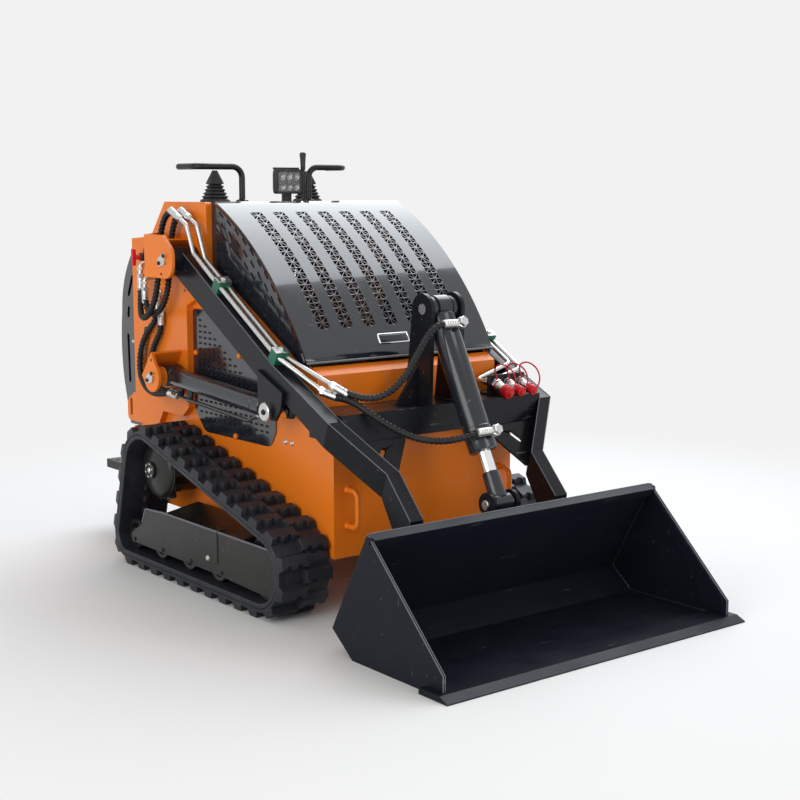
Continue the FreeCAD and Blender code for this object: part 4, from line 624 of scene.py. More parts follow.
def make_grilles():
    outline = rounded(GRILLE_CORNERS)
    holes = []
    for row in range(18):
        z = GRILLE_START[1] - GRILLE_PITCH[1] * row
        for i in range(min(row + 1, 14)):
            x = GRILLE_START[0] + GRILLE_PITCH[0] * i
            if fits(x, z, (44, 32), 0, outline):
                holes.append(slot_ring(x, z, *GRILLE_SLOT, 0))
    side_panel("slotted_grilles", outline, holes, "side_grilles")


# Tracks

WHEELS = ((-462, 325, 128), (212, 140, 120), (-575, 95, 75))  # x, z, radius to the belt's face
ROLLERS = ((212, 140, 94.6), (-575, 95, 49.6), (-405, 95, 49.8), (-230, 95, 49.8),
           (-55, 95, 49.8))
TRACK_INNER, TRACK_WIDTH = 346, 178
BELT_STATIONS = 260
BELT_HALF_SECTION = ((0, 60), (0, 2), (-2, 0), (-9, 0), (-10.5, 2.5), (-12, 0), (-22, 0),
                     (-25, 3), (-25, 60))
LUG_HEIGHT, LUG_PITCH, LUG_OVERLAP = 20, 84, 8
LUG_HALF = 16  # half of a lug's crest, along the belt
SCALLOPS, SCALLOP_DEPTH, SCALLOP_HALF = (0.70, 0.30), 9, 0.13
GUIDE_LEVELS = ((-24, 15, 9), (-30, 13, 8.5), (-36.5, 7, 5.5))  # height, half sizes along and across


def belt_loop():
    """Straight and curved stretches of the belt's face: (kind, origin, angle, length, radius)."""
    spans = []
    for i, (x0, z0, r0) in enumerate(WHEELS):
        x1, z1, r1 = WHEELS[(i + 1) % 3]
        angle = atan2(z1 - z0, x1 - x0) + acos((r0 - r1) / hypot(x1 - x0, z1 - z0))
        c, s = cos(angle), sin(angle)
        spans.append(((x0 + r0 * c, z0 + r0 * s), (x1 + r1 * c, z1 + r1 * s)))
    loop = []
    for i, (start, end) in enumerate(spans):
        x, z, r = WHEELS[(i + 1) % 3]
        nxt = spans[(i + 1) % 3][0]
        loop.append(("line", start, atan2(end[1] - start[1], end[0] - start[0]), dist(start, end), 0))
        a0, a1 = atan2(end[1] - z, end[0] - x), atan2(nxt[1] - z, nxt[0] - x)
        while a1 > a0:
            a1 -= tau
        loop.append(("arc", (x, z), a0, r * (a0 - a1), r))
    return loop


def belt_place(loop, distance):
    """(x, z, outward angle, radius of the stretch) at a distance round the belt."""
    for kind, origin, angle, length, radius in loop:
        if distance > length:
            distance -= length
        elif kind == "line":
            return (*polar(origin, distance, angle), angle + pi / 2, 0)
        else:
            out = angle - distance / radius
            return (*polar(origin, radius, out), out, radius)
    return belt_place(loop, 0)


def scalloped(foot, length):
    """Plan outline of a lug: one long edge straight, the other with two scallops."""
    outline = [(-foot, 0), (-foot, length), (foot, length)]
    for middle in SCALLOPS:
        for k in range(7):
            t = pi * k / 6
            outline.append((foot - SCALLOP_DEPTH * sin(t), length * (middle + SCALLOP_HALF * cos(t))))
    return outline + [(foot, 0)]


def make_track(side, sign):
    loop = belt_loop()
    total = sum(item[3] for item in loop)
    middle = TRACK_WIDTH / 2
    section = [*BELT_HALF_SECTION, (-25, 118)]
    section += [(a, TRACK_WIDTH - b) for a, b in BELT_HALF_SECTION[7:0:-1]] + [(0, 120)]

    def off_belt(distance):
        """A call that gives the place at a height, distance along and distance across there."""
        x, z, out, radius = belt_place(loop, distance)
        c, s = cos(out), sin(out)
        return lambda up, run, across: at(x + c * up - s * run, sign * (TRACK_INNER + across),
                                          z + s * up + c * run), radius

    form = Form()
    rings = []
    for n in range(BELT_STATIONS):
        place, _ = off_belt(total * n / BELT_STATIONS)
        rings.append([place(a, 0, b) for a, b in section])
    form.skin(rings + rings[:1], caps=False)
    bmesh.ops.remove_doubles(form.bm, verts=form.bm.verts[:], dist=1e-5)
    count = 2 * round(total / LUG_PITCH)
    for n in range(count):
        place, radius = off_belt((n + 0.5) * total / count)
        outer = n % 2
        top = sqrt((radius + LUG_HEIGHT) ** 2 - LUG_HALF ** 2) - radius if radius else LUG_HEIGHT
        lug = []
        for height, foot, end in ((-7, 25, 0), (0, 24.5, 0.5), (top - 1, 18, 4), (top, 16.8, 5)):
            length = middle + LUG_OVERLAP - 2 * end
            start = outer * (middle - LUG_OVERLAP) + end
            plan = [(a, length - b if outer else b) for a, b in scalloped(foot, length)]
            lug.append([place(height, -a, start + b) for a, b in plan])
        form.skin(lug)
    form.done("track_%s_rubber" % side, "chassis", "track_rubber", ["track_belt_" + side], sharp=24)
    guides = Form()
    for n in range(count):
        place, _ = off_belt((n + 0.5) * total / count)
        guides.skin([[place(height, a, middle + b) for a, b in rectangle(-half, -reach, half, reach)]
                     for height, half, reach in GUIDE_LEVELS])
    guides.done("track_%s_guides" % side, "chassis", "track_rubber", sharp=24)


def make_wheels(side, sign):
    form = Form()
    y0, width = sign * (TRACK_INNER + 25), TRACK_WIDTH - 63
    direction = (0, sign, 0)
    for x, z, r in ROLLERS:
        web = r * 0.62
        form.turned(at(x, y0, z), direction, [(18, 10), (web, 12), (web + 5, 2), (r - 3, 0), (r, 3),
                                              (r, width * 0.38), (r - 14, width * 0.42),
                                              (r - 14, width * 0.58), (r, width * 0.62), (r, width - 3),
                                              (r - 3, width), (web + 5, width - 2), (web, width - 14),
                                              (24, width - 12), (22, width + 4), (12, width + 6)], 56)
        form.turned(at(x, sign * WALL_FACE, z), direction, [(14, 0), (14, 156)], 20)
        for k in range(6):
            bx, bz = polar((x, z), min(web - 9, 42), tau * k / 6)
            form.bolt(at(bx, y0 + sign * (width - 13), bz), direction, 4.5)
    form.done("wheels_%s_detail" % side, "chassis", "frame_paint", ["track_wheels_" + side])


def make_sprocket(side, sign):
    """The drive motor's domed cover over the sprocket, with the ring of screws round its plug."""
    x, z, _ = WHEELS[0]
    face = sign * (TRACK_INNER + TRACK_WIDTH / 2 + 12)
    direction = (0, sign, 0)
    dome = [(96, -0.5), (96, 6), (93, 8)]
    for i in range(5):
        t = radians(8 + 9.5 * i)
        dome.append((93 * cos(t), 8 + 28 * sin(t)))
    dome += [(28, 36), (28, 44), (26, 46), (17, 46), (16, 41), (2, 41)]
    form = Form()
    form.turned(at(x, face, z), direction, dome, 64)
    form.done("sprocket_%s_dome" % side, "chassis", "frame_paint")
    bolts = Form()
    for k in range(6):
        bx, bz = polar((x, z), 21.5, tau * (k + 0.3) / 6)
        bolts.bolt(at(bx, face + sign * 46, bz), direction, 2.6)
    bolts.turned(at(x, face + sign * 41, z), direction, [(9, 0), (9, 5), (7.5, 6.5)], 6)
    bolts.done("sprocket_%s_bolts" % side, "chassis", "zinc_steel")


FRAME_EDGE = ((-500, 150), (-478, 197), (-362, 204.5), (262, 204.5))
COVER_FACE = 502
COVER_SEAM_X = -31
SCREW_XS = (-366, -190, -8, -552)


def make_frame_trim():
    """The track frames' upper edge, worn and with a painted highlight, the seam between their covers, and
    the rollers' screws.
    """
    edge, seam, screws = Form(), Form(), Form()
    path = corner_arcs([at(x, COVER_FACE - 1.5, z) for x, z in FRAME_EDGE], 8)
    # Lighter bar along the frame's upper edge: wear and a painted highlight
    edge.swept(path, 3.2, 10)
    edge.both_sides().done("frame_cover_edges", "chassis", "frame_paint", finish="worn_edge")
    seam.swept([at(COVER_SEAM_X, COVER_FACE + 0.6, z) for z in (106, 204, 206.5)], 2.6, 8)
    seam.swept([at(COVER_SEAM_X, y, 207.5) for y in (COVER_FACE, 470, 440)], 2.6, 8)
    seam.both_sides().done("frame_cover_seams", "chassis", "black_plastic")
    for x in SCREW_XS:
        screws.bolt(at(x, COVER_FACE, 84), (0, 1, 0), 5.5)
    screws.both_sides().done("roller_screws", "chassis", "black_paint")


# Hydraulics

TUBE_YS = (385, 410)
HOSE_R = 8.6
HOSE_WRAP = (13, 1.9)
FITTINGS = ((-650, 975, 45, 45), (-622, 930, 45, 42), (-597, 883, 14, 24),
            (-574, 832, 14, 24))
PIVOT_HOSES = (((-392, 410, 1134), (-428.4, 410, 1150.6), (-466, 412, 1132), (-492, 413, 1085),
                (-502, 415, 1030), (-504, 418, 972), (-502, 424, 915), (-512, 432, 858), (-548, 436, 812),
                (-602, 430, 800), (-641, 414, 838), (-650, 405, 890), (-650, 405, 930)),
               ((-372, 385, 1134), (-408.4, 385, 1150.6), (-442, 387, 1128), (-464, 388, 1084),
                (-473, 391, 1032), (-475, 396, 972), (-472, 401, 915), (-484, 408, 862), (-522, 412, 824),
                (-580, 410, 812), (-622, 405, 848), (-622, 405, 888)))
LIFT_HOSES = (((-597, 374, 859), (-597, 374, 819), (-620, 375, 782), (-662, 378, 752), (-694, 383, 706),
               (-700, 390, 652), (-680, 398, 602), (-636, 404, 568), (-584, 407, 555), (-530, 407.5, 558),
               (-477.7, 407.5, 568.1), (-437.8, 407.5, 565.5)),
              ((-574, 374, 808), (-574, 374, 768), (-598, 375, 736), (-630, 377, 696), (-642, 380, 648),
               (-624, 384, 602), (-586, 385, 572), (-540, 385.5, 564), (-499.7, 385.5, 569.6),
               (-459.8, 385.5, 566.9)))
TILT_HOSES = (((352, -338, 668), (378, -324, 654), (436, -292, 640), (474, -252, 652), (493, -206, 694),
               (492, -162, 752), (489, -122, 806), (493, -90, 836), (496.5, -60, 841.5),
               (496.5, -16, 841.5)),
              ((318, -352, 650), (350, -335, 640), (404, -318, 634), (452, -290, 600), (494, -246, 560),
               (536, -196, 532), (582, -146, 524), (620, -98, 534), (646.7, -56, 550),
               (646.7, -16, 550)))


def smooth_line(route):
    """Points along the smooth curve that the route's points control."""
    data = bpy.data.curves.new("route", "CURVE")
    data.dimensions, data.resolution_u = "3D", 34
    spline = data.splines.new("NURBS")
    spline.points.add(len(route) - 1)
    for point, place in zip(spline.points, route):
        point.co = (*(at(*place)), 1)
    spline.order_u = 3
    spline.use_endpoint_u = True
    holder = bpy.data.objects.new("route", data)
    bpy.context.scene.collection.objects.link(holder)
    bpy.context.view_layer.update()
    mesh = bpy.data.meshes.new_from_object(holder.evaluated_get(bpy.context.evaluated_depsgraph_get()))
    points = [v.co.copy() for v in mesh.vertices]
    bpy.data.meshes.remove(mesh)
    bpy.data.objects.remove(holder)
    bpy.data.curves.remove(data)
    return points


def ferrule(form, end, inward, length=46):
    """A crimped ferrule over a hose's end, with the nut in front of it."""
    form.turned(end, inward, [(7, -12), (11.5, -12), (12, -10.5), (12, -1), (10.5, 0.5)], 6, 0.2)
    profile = [(8, -0.5), (11, 0)]
    rings = 5
    for i in range(rings):
        a = 3 + (length - 6) * i / rings
        b = a + (length - 6) / rings
        profile += [(12, a + 0.5), (12, b - 2.4), (11, b - 1.6), (11, b - 0.4)]
    form.turned(end, inward, profile + [(11.6, length - 1), (9.6, length)], 28)


def hose_form(routes):
    form = Form()
    for route in routes:
        form.swept(smooth_line(route), HOSE_R, 14, HOSE_WRAP)
    return form


def make_hoses():
    form = hose_form(PIVOT_HOSES).both_sides()
    hoses = form.done("pivot_hose_run", None, "hose_rubber", ["pivot_hoses"], sharp=60)
    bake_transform(hoses)
    for side, sign in SIDES:
        form = hose_form([[(x, sign * y, z) for x, y, z in route] for route in LIFT_HOSES])
        hoses = form.done("lift_hose_%s_run" % side, None, "hose_rubber", ["lift_hoses"], sharp=60)
        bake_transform(hoses)
    hoses = hose_form(TILT_HOSES).done("tilt_hose_run", None, "hose_rubber", ["tilt_hoses"], sharp=60)
    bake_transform(hoses)


def end_pair(route, last=False):
    """A route's end point and the direction from it into the hose."""
    a, b = (route[-1], route[-2]) if last else (route[0], route[1])
    return at(*a), (at(*b) - at(*a)).normalized()


def make_fittings():
    """Elbows, nuts and ferrules: those on the chassis, on the arm, on each barrel."""
    chassis, arm, tilt = Form(), Form(), Form()
    for (x, z, reach, drop), route in zip(FITTINGS, (*PIVOT_HOSES, *LIFT_HOSES)):
        path = [at(x, TOWER_FACE, z), at(x, TOWER_FACE + reach, z),
                at(x, TOWER_FACE + reach, z - drop + 12)]
        chassis.swept(corner_arcs(path, 12), 8, 20)
        nut = min(13, reach - 1)
        chassis.turned(at(x, TOWER_FACE, z), (0, 1, 0), [(nut, 0), (nut, 7), (nut - 1.5, 8.5)], 6)
        chassis.turned(at(x, TOWER_FACE + reach, z - 10), (0, 0, -1),
                       [(10, 0), (11.5, 1.5), (11.5, 9), (10, 10)], 6)
        end, inward = end_pair(route, last=route in PIVOT_HOSES)
        ferrule(chassis, end, inward, 40 if reach > 20 else 30)
    for route in PIVOT_HOSES:
        ferrule(arm, *end_pair(route))
    chassis.both_sides().done("chassis_fittings", "chassis", "zinc_steel", ["bulkhead_fittings"])
    arm.both_sides()
    for route in TILT_HOSES:
        ferrule(arm, *end_pair(route))
        end, inward = end_pair(route, last=True)
        ferrule(tilt, end, inward, 50)
    arm.done("arm_ferrules", "loader_arm", "zinc_steel")
    tilt.done("tilt_ferrules", "tilt_barrel", "zinc_steel")
    for side, sign in SIDES:
        form = Form()
        for route in LIFT_HOSES:
            end, inward = end_pair([(x, sign * y, z) for x, y, z in route], last=True)
            ferrule(form, end, inward, 34)
        form.done("lift_ferrules_" + side, "lift_barrel_" + side, "zinc_steel")


ARM_TOP, ARM_BEND = (-375, 1040), (161, 716)  # (x, z) on the arm's upper face
CLAMPS = (230, 590)  # along that face


def arm_line(distance, above):
    return along(ARM_TOP, ARM_BEND, distance, above)


def make_tubes():
    """Bent steel tubes on both arms, with a hexagon collar at their tops."""
    form = Form()
    ends = {-1: (((352, 338, 668),), ((318, 352, 650),)),
            1: (((288, 380, 678), (288, 240, 636), (350, 240, 636)),
                ((318, 398, 664), (318, 290, 636), (350, 290, 636)))}
    for sign, tails in ends.items():
        for i, y in enumerate(TUBE_YS):
            shift = 20 * (1 - i)
            flat = [(-392 + shift, 1134), (-335 + shift, 1108)]
            flat += [arm_line(along_arm, 24) for along_arm in ((110, 78)[i], 610)]
            route = [at(x, sign * y, z) for x, z in flat] + [at(x, sign * b, z) for x, b, z in tails[i]]
            form.swept(corner_arcs(route, 18, 8), 7, 18)
            for place, nxt in ((route[0], route[1]), (route[-1], route[-2])):
                form.turned(place, nxt - place, [(8, 0), (11, 1), (11.5, 12), (11.5, 20), (8.5, 22)], 6)
    form.done("arm_steel_tubes", "loader_arm", "zinc_steel", ["arm_tubes"])


def make_clamps():
    """Each clamp's upper plate and its bolt, over the plastic block."""
    form = Form()
    slope = atan2(ARM_TOP[1] - ARM_BEND[1], ARM_BEND[0] - ARM_TOP[0])
    for distance in CLAMPS:
        up = Vector((sin(slope), 0, cos(slope)))
        x, z = arm_line(distance, 0)
        run = Vector((cos(slope), 0, -sin(slope)))
        base = at(x, 0, z) + up * 0.040
        corners = rectangle(2, TUBE_YS[0] - 10, 32, TUBE_YS[1] + 10)
        rings = []
        for rise in (0, 4):
            rings.append([base + (run * a + ACROSS * b + up * rise) / 1000 for a, b in corners])
        form.skin(rings)
        form.bolt(base + (run * 17 + ACROSS * ARM_LANE + up * 4) / 1000, up, 8)
    form.both_sides().done("clamp_plates", "loader_arm", "zinc_steel", bevel=0.8)


def on_line(line, distance, aside=0, y=0):
    x, z = along(*line, distance, aside)
    return at(x, y, z)


def make_lift_barrel(side, sign):
    y = sign * ARM_LANE
    start, end = on_line(LIFT_LINE, 0, 0, y), on_line(LIFT_LINE, 560.4, 0, y)
    way = end - start
    form = Form()
    form.turned(start, way, [(20, 14), (31, 22), (32.5, 27), (31.5, 31), (30, 33), (30, 500), (31.2, 502),
                             (31.2, 512), (29.4, 514), (29.4, 518), (32, 520), (32, 556), (30, 559),
                             (20, 560.4)], 48)
    form.turned(on_line(LIFT_LINE, 0, 0, y - sign * 29.5), (0, sign, 0),
                [(30, 0), (34, 3), (34, 56), (30, 59)], 48)

    def pipe(radius, sides, bend, steps, *points):
        """A pipe through points given by their distances along, above and outward from the barrel's line."""
        path = [on_line(LIFT_LINE, d, above, y + sign * out) for d, above, out in points]
        form.swept(corner_arcs(path, bend, steps), radius, sides)

    pipe(6, 16, 24, 8, (62, -56, 10), (480, -56, 10), (530, -30, 5))
    pipe(9, 18, 12, 6, (36, -56, -12), (48, -56, -12), (48, -24, -12))
    pipe(11, 8, 0, 0, (128, -64, 4), (128, -20, 4))
    form.done("lift_barrel_%s_body" % side, "lift_barrel_" + side, "barrel_paint",
              ["lift_barrel_" + side], sharp=30)
    nuts = Form()
    for d, off, r in ((40, 10, 11.5), (14, -12, 12)):
        nuts.turned(on_line(LIFT_LINE, d, -56, y + sign * off), way,
                    [(r - 1, 0), (r, 1), (r, 23), (r - 1.5, 25)], 6)
    slant = on_line(LIFT_LINE, 545, -18) - on_line(LIFT_LINE, 527, -31)
    nuts.turned(on_line(LIFT_LINE, 527, -31, y + sign * 5), slant, [(10, 0), (10, 14), (9, 15)], 6)
    nuts.done("lift_nuts_" + side, "lift_barrel_" + side, "zinc_steel")


TILT_PORTS = (78, 406)  # along the barrel from its base pin


def make_tilt_barrel():
    start, end = on_line(TILT_LINE, 0), on_line(TILT_LINE, 445.2)
    way = end - start
    form = Form()
    form.turned(start, way, [(26, 16), (40.5, 26), (42, 31), (40, 35), (40, 372), (41.5, 374),
                             (41.5, 384), (39, 386), (39, 391), (42, 393), (42, 438), (40, 442),
                             (24, 445.2)], 56)
    form.turned(on_line(TILT_LINE, 0, 0, -46), (0, 1, 0), [
        (31, 0), (35, 2), (35, 15), (32, 17), (32, 21), (38, 23), (38, 69), (32, 71),
        (32, 75), (35, 77), (35, 90), (31, 92)], 48)
    out = on_line(TILT_LINE, 0, 1) - start
    for distance in TILT_PORTS:
        root = on_line(TILT_LINE, distance, 34)
        form.turned(root, out, [(15, 0), (13, 5), (12, 14), (12, 26)], 28)
    form.done("tilt_barrel_body", "tilt_barrel", "barrel_paint", ["tilt_barrel"], sharp=30)
    bolts = Form()
    for distance in TILT_PORTS:
        root = on_line(TILT_LINE, distance, 60)
        bolts.turned(root, out, [(14, 0), (14, 1.5), (16, 3), (16.5, 12), (16, 20), (14, 21)], 32)
        bolts.turned(root, out, [(15, 20.5), (15, 31), (13, 33)], 6, 0.4)
        bolts.turned(root + out.normalized() * 0.012 - ACROSS * 0.010, -ACROSS, [(8.5, 0), (8.5, 14)], 20)
    bolts.done("tilt_banjos", "tilt_barrel", "zinc_steel")


# Small fittings

RIM, BACK_FOOT, LIP_TOP = (753, 350), (598, 67), (1057, 57)  # (x, z) on the bucket's side
BOLTS = (  # y of the face, size, body, slot, (x, z) of each
    (478, 5.5, "chassis", "black_paint", ((-394, 990), (-365, 1014), (-488, 613), (-459, 637))),
    (WALL_FACE, 6.5, "chassis", "zinc_steel", ((97, 478.5), (132, 478.5))),
    (WALL_FACE, 5, "chassis", "zinc_steel", ((-806, 1000), (-838, 700), (-850, 450))),
    (COVER_FACE, 7, "chassis", "zinc_steel", ((-87, 114),)),
    (446, 7, "loader_arm", "black_paint", (LIFT_LINE[1],)),
)
DOMES = ((-175, 459), (-147, 712), (-408, 700), (38, 640))
# Small holes are drawn as thin black discs on the plates: painted shade of their insides
SMALL_HOLES = ((TOWER_FACE, ((-466, 1155), (-575, 1048), (-442, 897))),
               (BRACKET_FACE, ((-472, 679), (-393, 956))))


def make_bolts():
    forms = {key: Form() for key in (("chassis", "zinc_steel"), ("chassis", "black_paint"),
                                     ("loader_arm", "zinc_steel"), ("loader_arm", "black_paint"))}
    for y, size, body, slot, places in BOLTS:
        for x, z in places:
            forms[body, slot].bolt(at(x, y, z), (0, 1, 0), size)
    place, washer = on_line(LIFT_LINE, dist(*LIFT_LINE), 0, 440), [(25, 0), (27, 1.5), (27, 4.5), (25, 6)]
    forms["loader_arm", "zinc_steel"].turned(place, (0, 1, 0), washer, 40)
    domes = Form()
    for x, z in DOMES:
        domes.turned(at(x, PANEL_BACK + PANEL_THICK, z), (0, 1, 0),
                     [(9.5, 0), (9, 3), (7, 6), (3.5, 8), (1, 8.6)], 24)
    domes.both_sides().done("panel_dome_screws", "chassis", "orange_paint")
    # Painted shade: a black disc at each small hole
    for face, holes in SMALL_HOLES:
        for x, z in holes:
            rim = [(4.6, 0), (4.6, 0.4), (3.4, 0.6), (3, 0.2)]
            forms["chassis", "black_paint"].turned(at(x, face + 0.1, z), (0, 1, 0), rim, 20)
    bucket = Form()
    outward = (-0.877, 0, 0.480)
    for y in (120, 300):
        for distance in (60, 250):
            x, z = along(BACK_FOOT, RIM, distance, 10)
            bucket.bolt(at(x, y, z), outward, 7)
    names = ("chassis_bolts", "chassis_dark_bolts", "arm_bolts", "arm_dark_bolts")
    for name, ((body, slot), form) in zip(names, forms.items()):
        form.both_sides().done(name, body, slot)
    bucket.both_sides().done("bucket_bolts", "bucket", "zinc_steel")


COUPLERS = ((240, 20), (290, 16), (340, 16))  # y, radius of the cap


def make_couplers():
    """Couplers with their collars, and the soft caps on their noses, each tied by a thin loop."""
    bodies, caps = Form(), Form()
    nose = Vector((0.94, 0, -0.34))
    for y, r in COUPLERS:
        bodies.turned(at(346, y, 636), (1, 0, 0), [(9, 0), (12, 1.5), (12, 20), (10, 22)], 6)
        bodies.turned(at(368, y, 636), (1, 0, 0), [(10, 0), (10, 7), (13, 9)], 32)
        root = at(372, y, 636)
        k = r / 16
        bodies.turned(root, nose, [(11 * k, 0), (14 * k, 1.5), (14.5 * k, 4), (14.5 * k, 16),
                                   (13 * k, 17.5)], 6)
        bodies.turned(root + nose * 0.017, nose, [(12 * k, 0), (12 * k, 4), (13.4 * k, 5), (13.4 * k, 15),
                                                   (12 * k, 16), (12 * k, 34)], 32)
        face = root + nose * 0.048
        caps.turned(face, nose, [(r - 1.5, 0), (r, 1.5), (r, 7), (r - 1.6, 8.5), (r - 1.6, 11),
                                 (r - 0.4, 12.5), (r - 0.6, 25), (r - 3, 28.5), (r * 0.45, 29.6),
                                 (r * 0.40, 34), (r * 0.2, 35)], 36)
        tip = (face + nose * 0.033) * 1000
        loop = [(384, y + 3, 645), (382, y - 8, 668), (390, y - 12, 690), (412, y + 2, 698),
                (440, y + 18, 676), (452, y + 18, 636), (tip.x - 2, y + 2, tip.z + 4)]
        caps.swept(smooth_line(loop), 2.5, 10)
        collar = root + nose * 0.018
        caps.turned(collar, nose, [(13.6 * k, 0), (14.6 * k, 0.6), (14.6 * k, 3), (13.6 * k, 3.6)], 32)
    bodies.done("coupler_bodies", "loader_arm", "zinc_steel", ["couplers"])
    caps.done("coupler_soft_caps", "loader_arm", "red_plastic", ["coupler_caps"])


HANDLE = ((340, 262), (390, 262), (390, 368), (340, 368))
RESTS = ((-140, -305), (122, 280))  # y of the post and of the bar's end
REST_TOP, REST_END = 1290, -560
POSTS_X, LEVERS_X = -440, -502


def make_handles():
    form = Form()
    for sign in (1, -1):
        path = [at(x, sign * 290, z) for x, z in HANDLE]
        form.swept(corner_arcs(path, 24, 8), 8, 20)
        for x, z in (HANDLE[0], HANDLE[-1]):
            form.turned(at(x, sign * 290, z), (1, 0, 0), [(11, 0), (10.5, 2.5), (8.2, 5)], 24)
    form.done("grab_handle_bars", "chassis", "orange_paint", ["grab_handles"])
    rests = Form()
    for post, end in RESTS:
        path = [at(POSTS_X, post, DECK_TOP), at(POSTS_X, post, REST_TOP), at(POSTS_X, end, REST_TOP),
                at(REST_END, end, REST_TOP)]
        rests.swept(corner_arcs(path, 36, 10), 10, 24)
        rests.turned(at(POSTS_X, post, DECK_TOP), (0, 0, 1), [(20, 0), (20, 4), (12, 7), (10.2, 10)], 32)
    rests.done("hand_rest_bars", "chassis", "black_paint", ["hand_rests"])


def squircle(y, half, z, count=32):
    """A square ring with round corners, about a lever."""
    ring = []
    for i in range(count):
        t = tau * (i + 0.5) / count
        c, s = cos(t), sin(t)
        r = half / (abs(c) ** 5 + abs(s) ** 5) ** 0.2
        ring.append(at(LEVERS_X + r * c, y + r * s, z))
    return ring


def make_gaiters():
    form = Form()
    for y in (-205, 160):
        rings = [squircle(y, 41, DECK_TOP), squircle(y, 41, DECK_TOP + 3)]
        for i in range(5):
            half = 40 - 15 * i / 4
            z = DECK_TOP + 11 * i
            rings += [squircle(y, half, z + 3.5), squircle(y, half - 0.5, z + 5),
                      squircle(y, half - 7.5, z + 9), squircle(y, half - 8, z + 10.6)]
        for half, z in ((25, 1235), (22, 1243), (12, 1266), (8, 1276), (7, 1278)):
            rings.append(squircle(y, half, z))
        form.skin(rings)
    form.done("gaiter_folds", "chassis", "bellows_rubber", ["control_gaiters"], sharp=60)
    lever = Form()
    lever.turned(at(POSTS_X, 100, DECK_TOP), (0, 0, 1), [(11, 0), (11, 3), (6, 6), (6, 102)], 24)
    lever.turned(at(POSTS_X, 100, 1280), (0, 0, 1), [(6.5, 0), (8, 3), (8.4, 20), (9.6, 40), (11, 50),
                                                       (11, 54), (9, 58), (4, 60)], 28)
    lever.done("lever_and_knob", "chassis", "black_plastic", ["hand_lever"])


def make_lamp():
    form = Form()
    y0, y1, z0, z1 = -10, 94, 1202, 1283
    outline = rectangle(y0, z0, y1, z1, 9)
    inner = rectangle(y0 + 8, z0 + 8, y1 - 8, z1 - 8, 5)
    rings = []
    for x, flat in ((-456, outline), (-438, outline), (-434, outline), (-434, inner), (-441, inner)):
        rings.append([at(x, a, b) for a, b in rounded(flat)])
    form.skin(rings)
    for i in range(9):
        y = y0 + 10 + i * (y1 - y0 - 20) / 8
        fin = [(-456, z0 + 6), (-456, z1 - 6), (-470, z1 - 14, 4), (-470, z0 + 14, 4)]
        form.plate(fin, "y", y - 1.6, y + 1.6)
    form.plate(rectangle(-464, 28, -442, 56, 3), "z", DECK_TOP, DECK_TOP + 25)
    form.plate(rectangle(-464, y0 + 4, -446, y1 - 4, 3), "z", z1 - 1, z1 + 6)
    form.done("lamp_housing", "chassis", "black_plastic", ["work_light"], bevel=0.8)
    cups = Form()
    for y in (14, 42, 70):
        for z in (1226, 1259):
            cups.turned(at(-440.8, y, z), (1, 0, 0), [(13, 0), (13, 3), (12.2, 3), (8, 1.2), (3, 0.5),
                                                      (2.8, 1.6)], 28)
    cups.done("lamp_reflectors", "chassis", "chrome", finish="reflector")


def make_isolator():
    key = Form()
    x, z = -690, 996
    key.turned(at(x, -386, z), (0, -1, 0), [(10, 0), (9, 3), (9, 14), (7, 17)], 28)
    key.plate(rectangle(x - 7, z - 28, x + 7, z + 28, 6), "y", -414, -402)
    key.done("isolator_grip", "chassis", "red_plastic", ["isolator_key"], bevel=2.4)
    base = Form()
    base.plate(rectangle(x - 16, z - 32, x + 16, z + 32, 15), "y", -364, -360)
    base.turned(at(x, -364, z), (0, -1, 0), [(15, 0), (15, 5), (13.5, 6), (13.5, 20), (12, 22)], 32)
    for rise in (-23, 23):
        base.turned(at(x, -364, z + rise), (0, -1, 0), [(5, 0), (4.4, 2), (2, 3)], 16)
    base.done("isolator_base", "chassis", "black_plastic", ["isolator_switch"], bevel=0.6)


def make_latch():
    """A painted paddle in its chromed frame; its face is bare."""
    form = Form()
    share = 0.912
    normal = (hood_point(0, share) - hood_point(0, share, 10)).normalized()
    down = (hood_point(0, share + 0.01) - hood_point(0, share)).normalized()
    centre = hood_point(-18.5, share)

    def ring(half_y, half_s, rise):
        corners = rounded(rectangle(-half_y, -half_s, half_y, half_s, 5))
        return [centre + (ACROSS * a + down * b + normal * rise) / 1000 for a, b in corners]

    form.skin([ring(57.5, 17, 0.2), ring(57.5, 17, 2.4), ring(56, 15.5, 3.8), ring(54, 14, 3.8),
               ring(53, 13, 1.6)])
    form.done("latch_frame", "hood", "chrome", ["hood_latch"], sharp=50)
    paddle = Form()
    paddle.skin([ring(52.6, 12.6, 1), ring(52.6, 12.6, 2), ring(50, 10.5, 3.4), ring(20, 6, 4)])
    paddle.done("latch_paddle", "hood", "barrel_paint", ["hood_latch"], sharp=50)


STEP_TOP, STEP_FRONT = 250, -812
STUD_START, STUD_PITCH = (-1080, -300), (28, 30)


def make_platform():
    """Raised studs on the operator's step."""
    form = Form()
    for i in range(10):
        for j in range(21):
            x = STUD_START[0] + STUD_PITCH[0] * (i + 0.5 * (j % 2))
            y = STUD_START[1] + STUD_PITCH[1] * j
            if x > STEP_FRONT:
                continue
            tilt = 0.8 if (i + j) % 2 else -0.8
            c, s = cos(tilt), sin(tilt)
            lens = []
            for rise, a, b in ((-0.5, 11, 4), (1.6, 7, 2)):
                outline = ((-a, 0), (-a / 2, -b), (a / 2, -b), (a, 0), (a / 2, b), (-a / 2, b))
                z = STEP_TOP + rise
                lens.append([at(x + c * p - s * q, y + s * p + c * q, z) for p, q in outline])
            form.skin(lens)
    form.done("step_studs", "chassis", "black_paint")


BUCKET_INNER, BUCKET_FACE = 518, 530
FLOOR_WELD = ((612, 72), (690, 10), (988, 10))


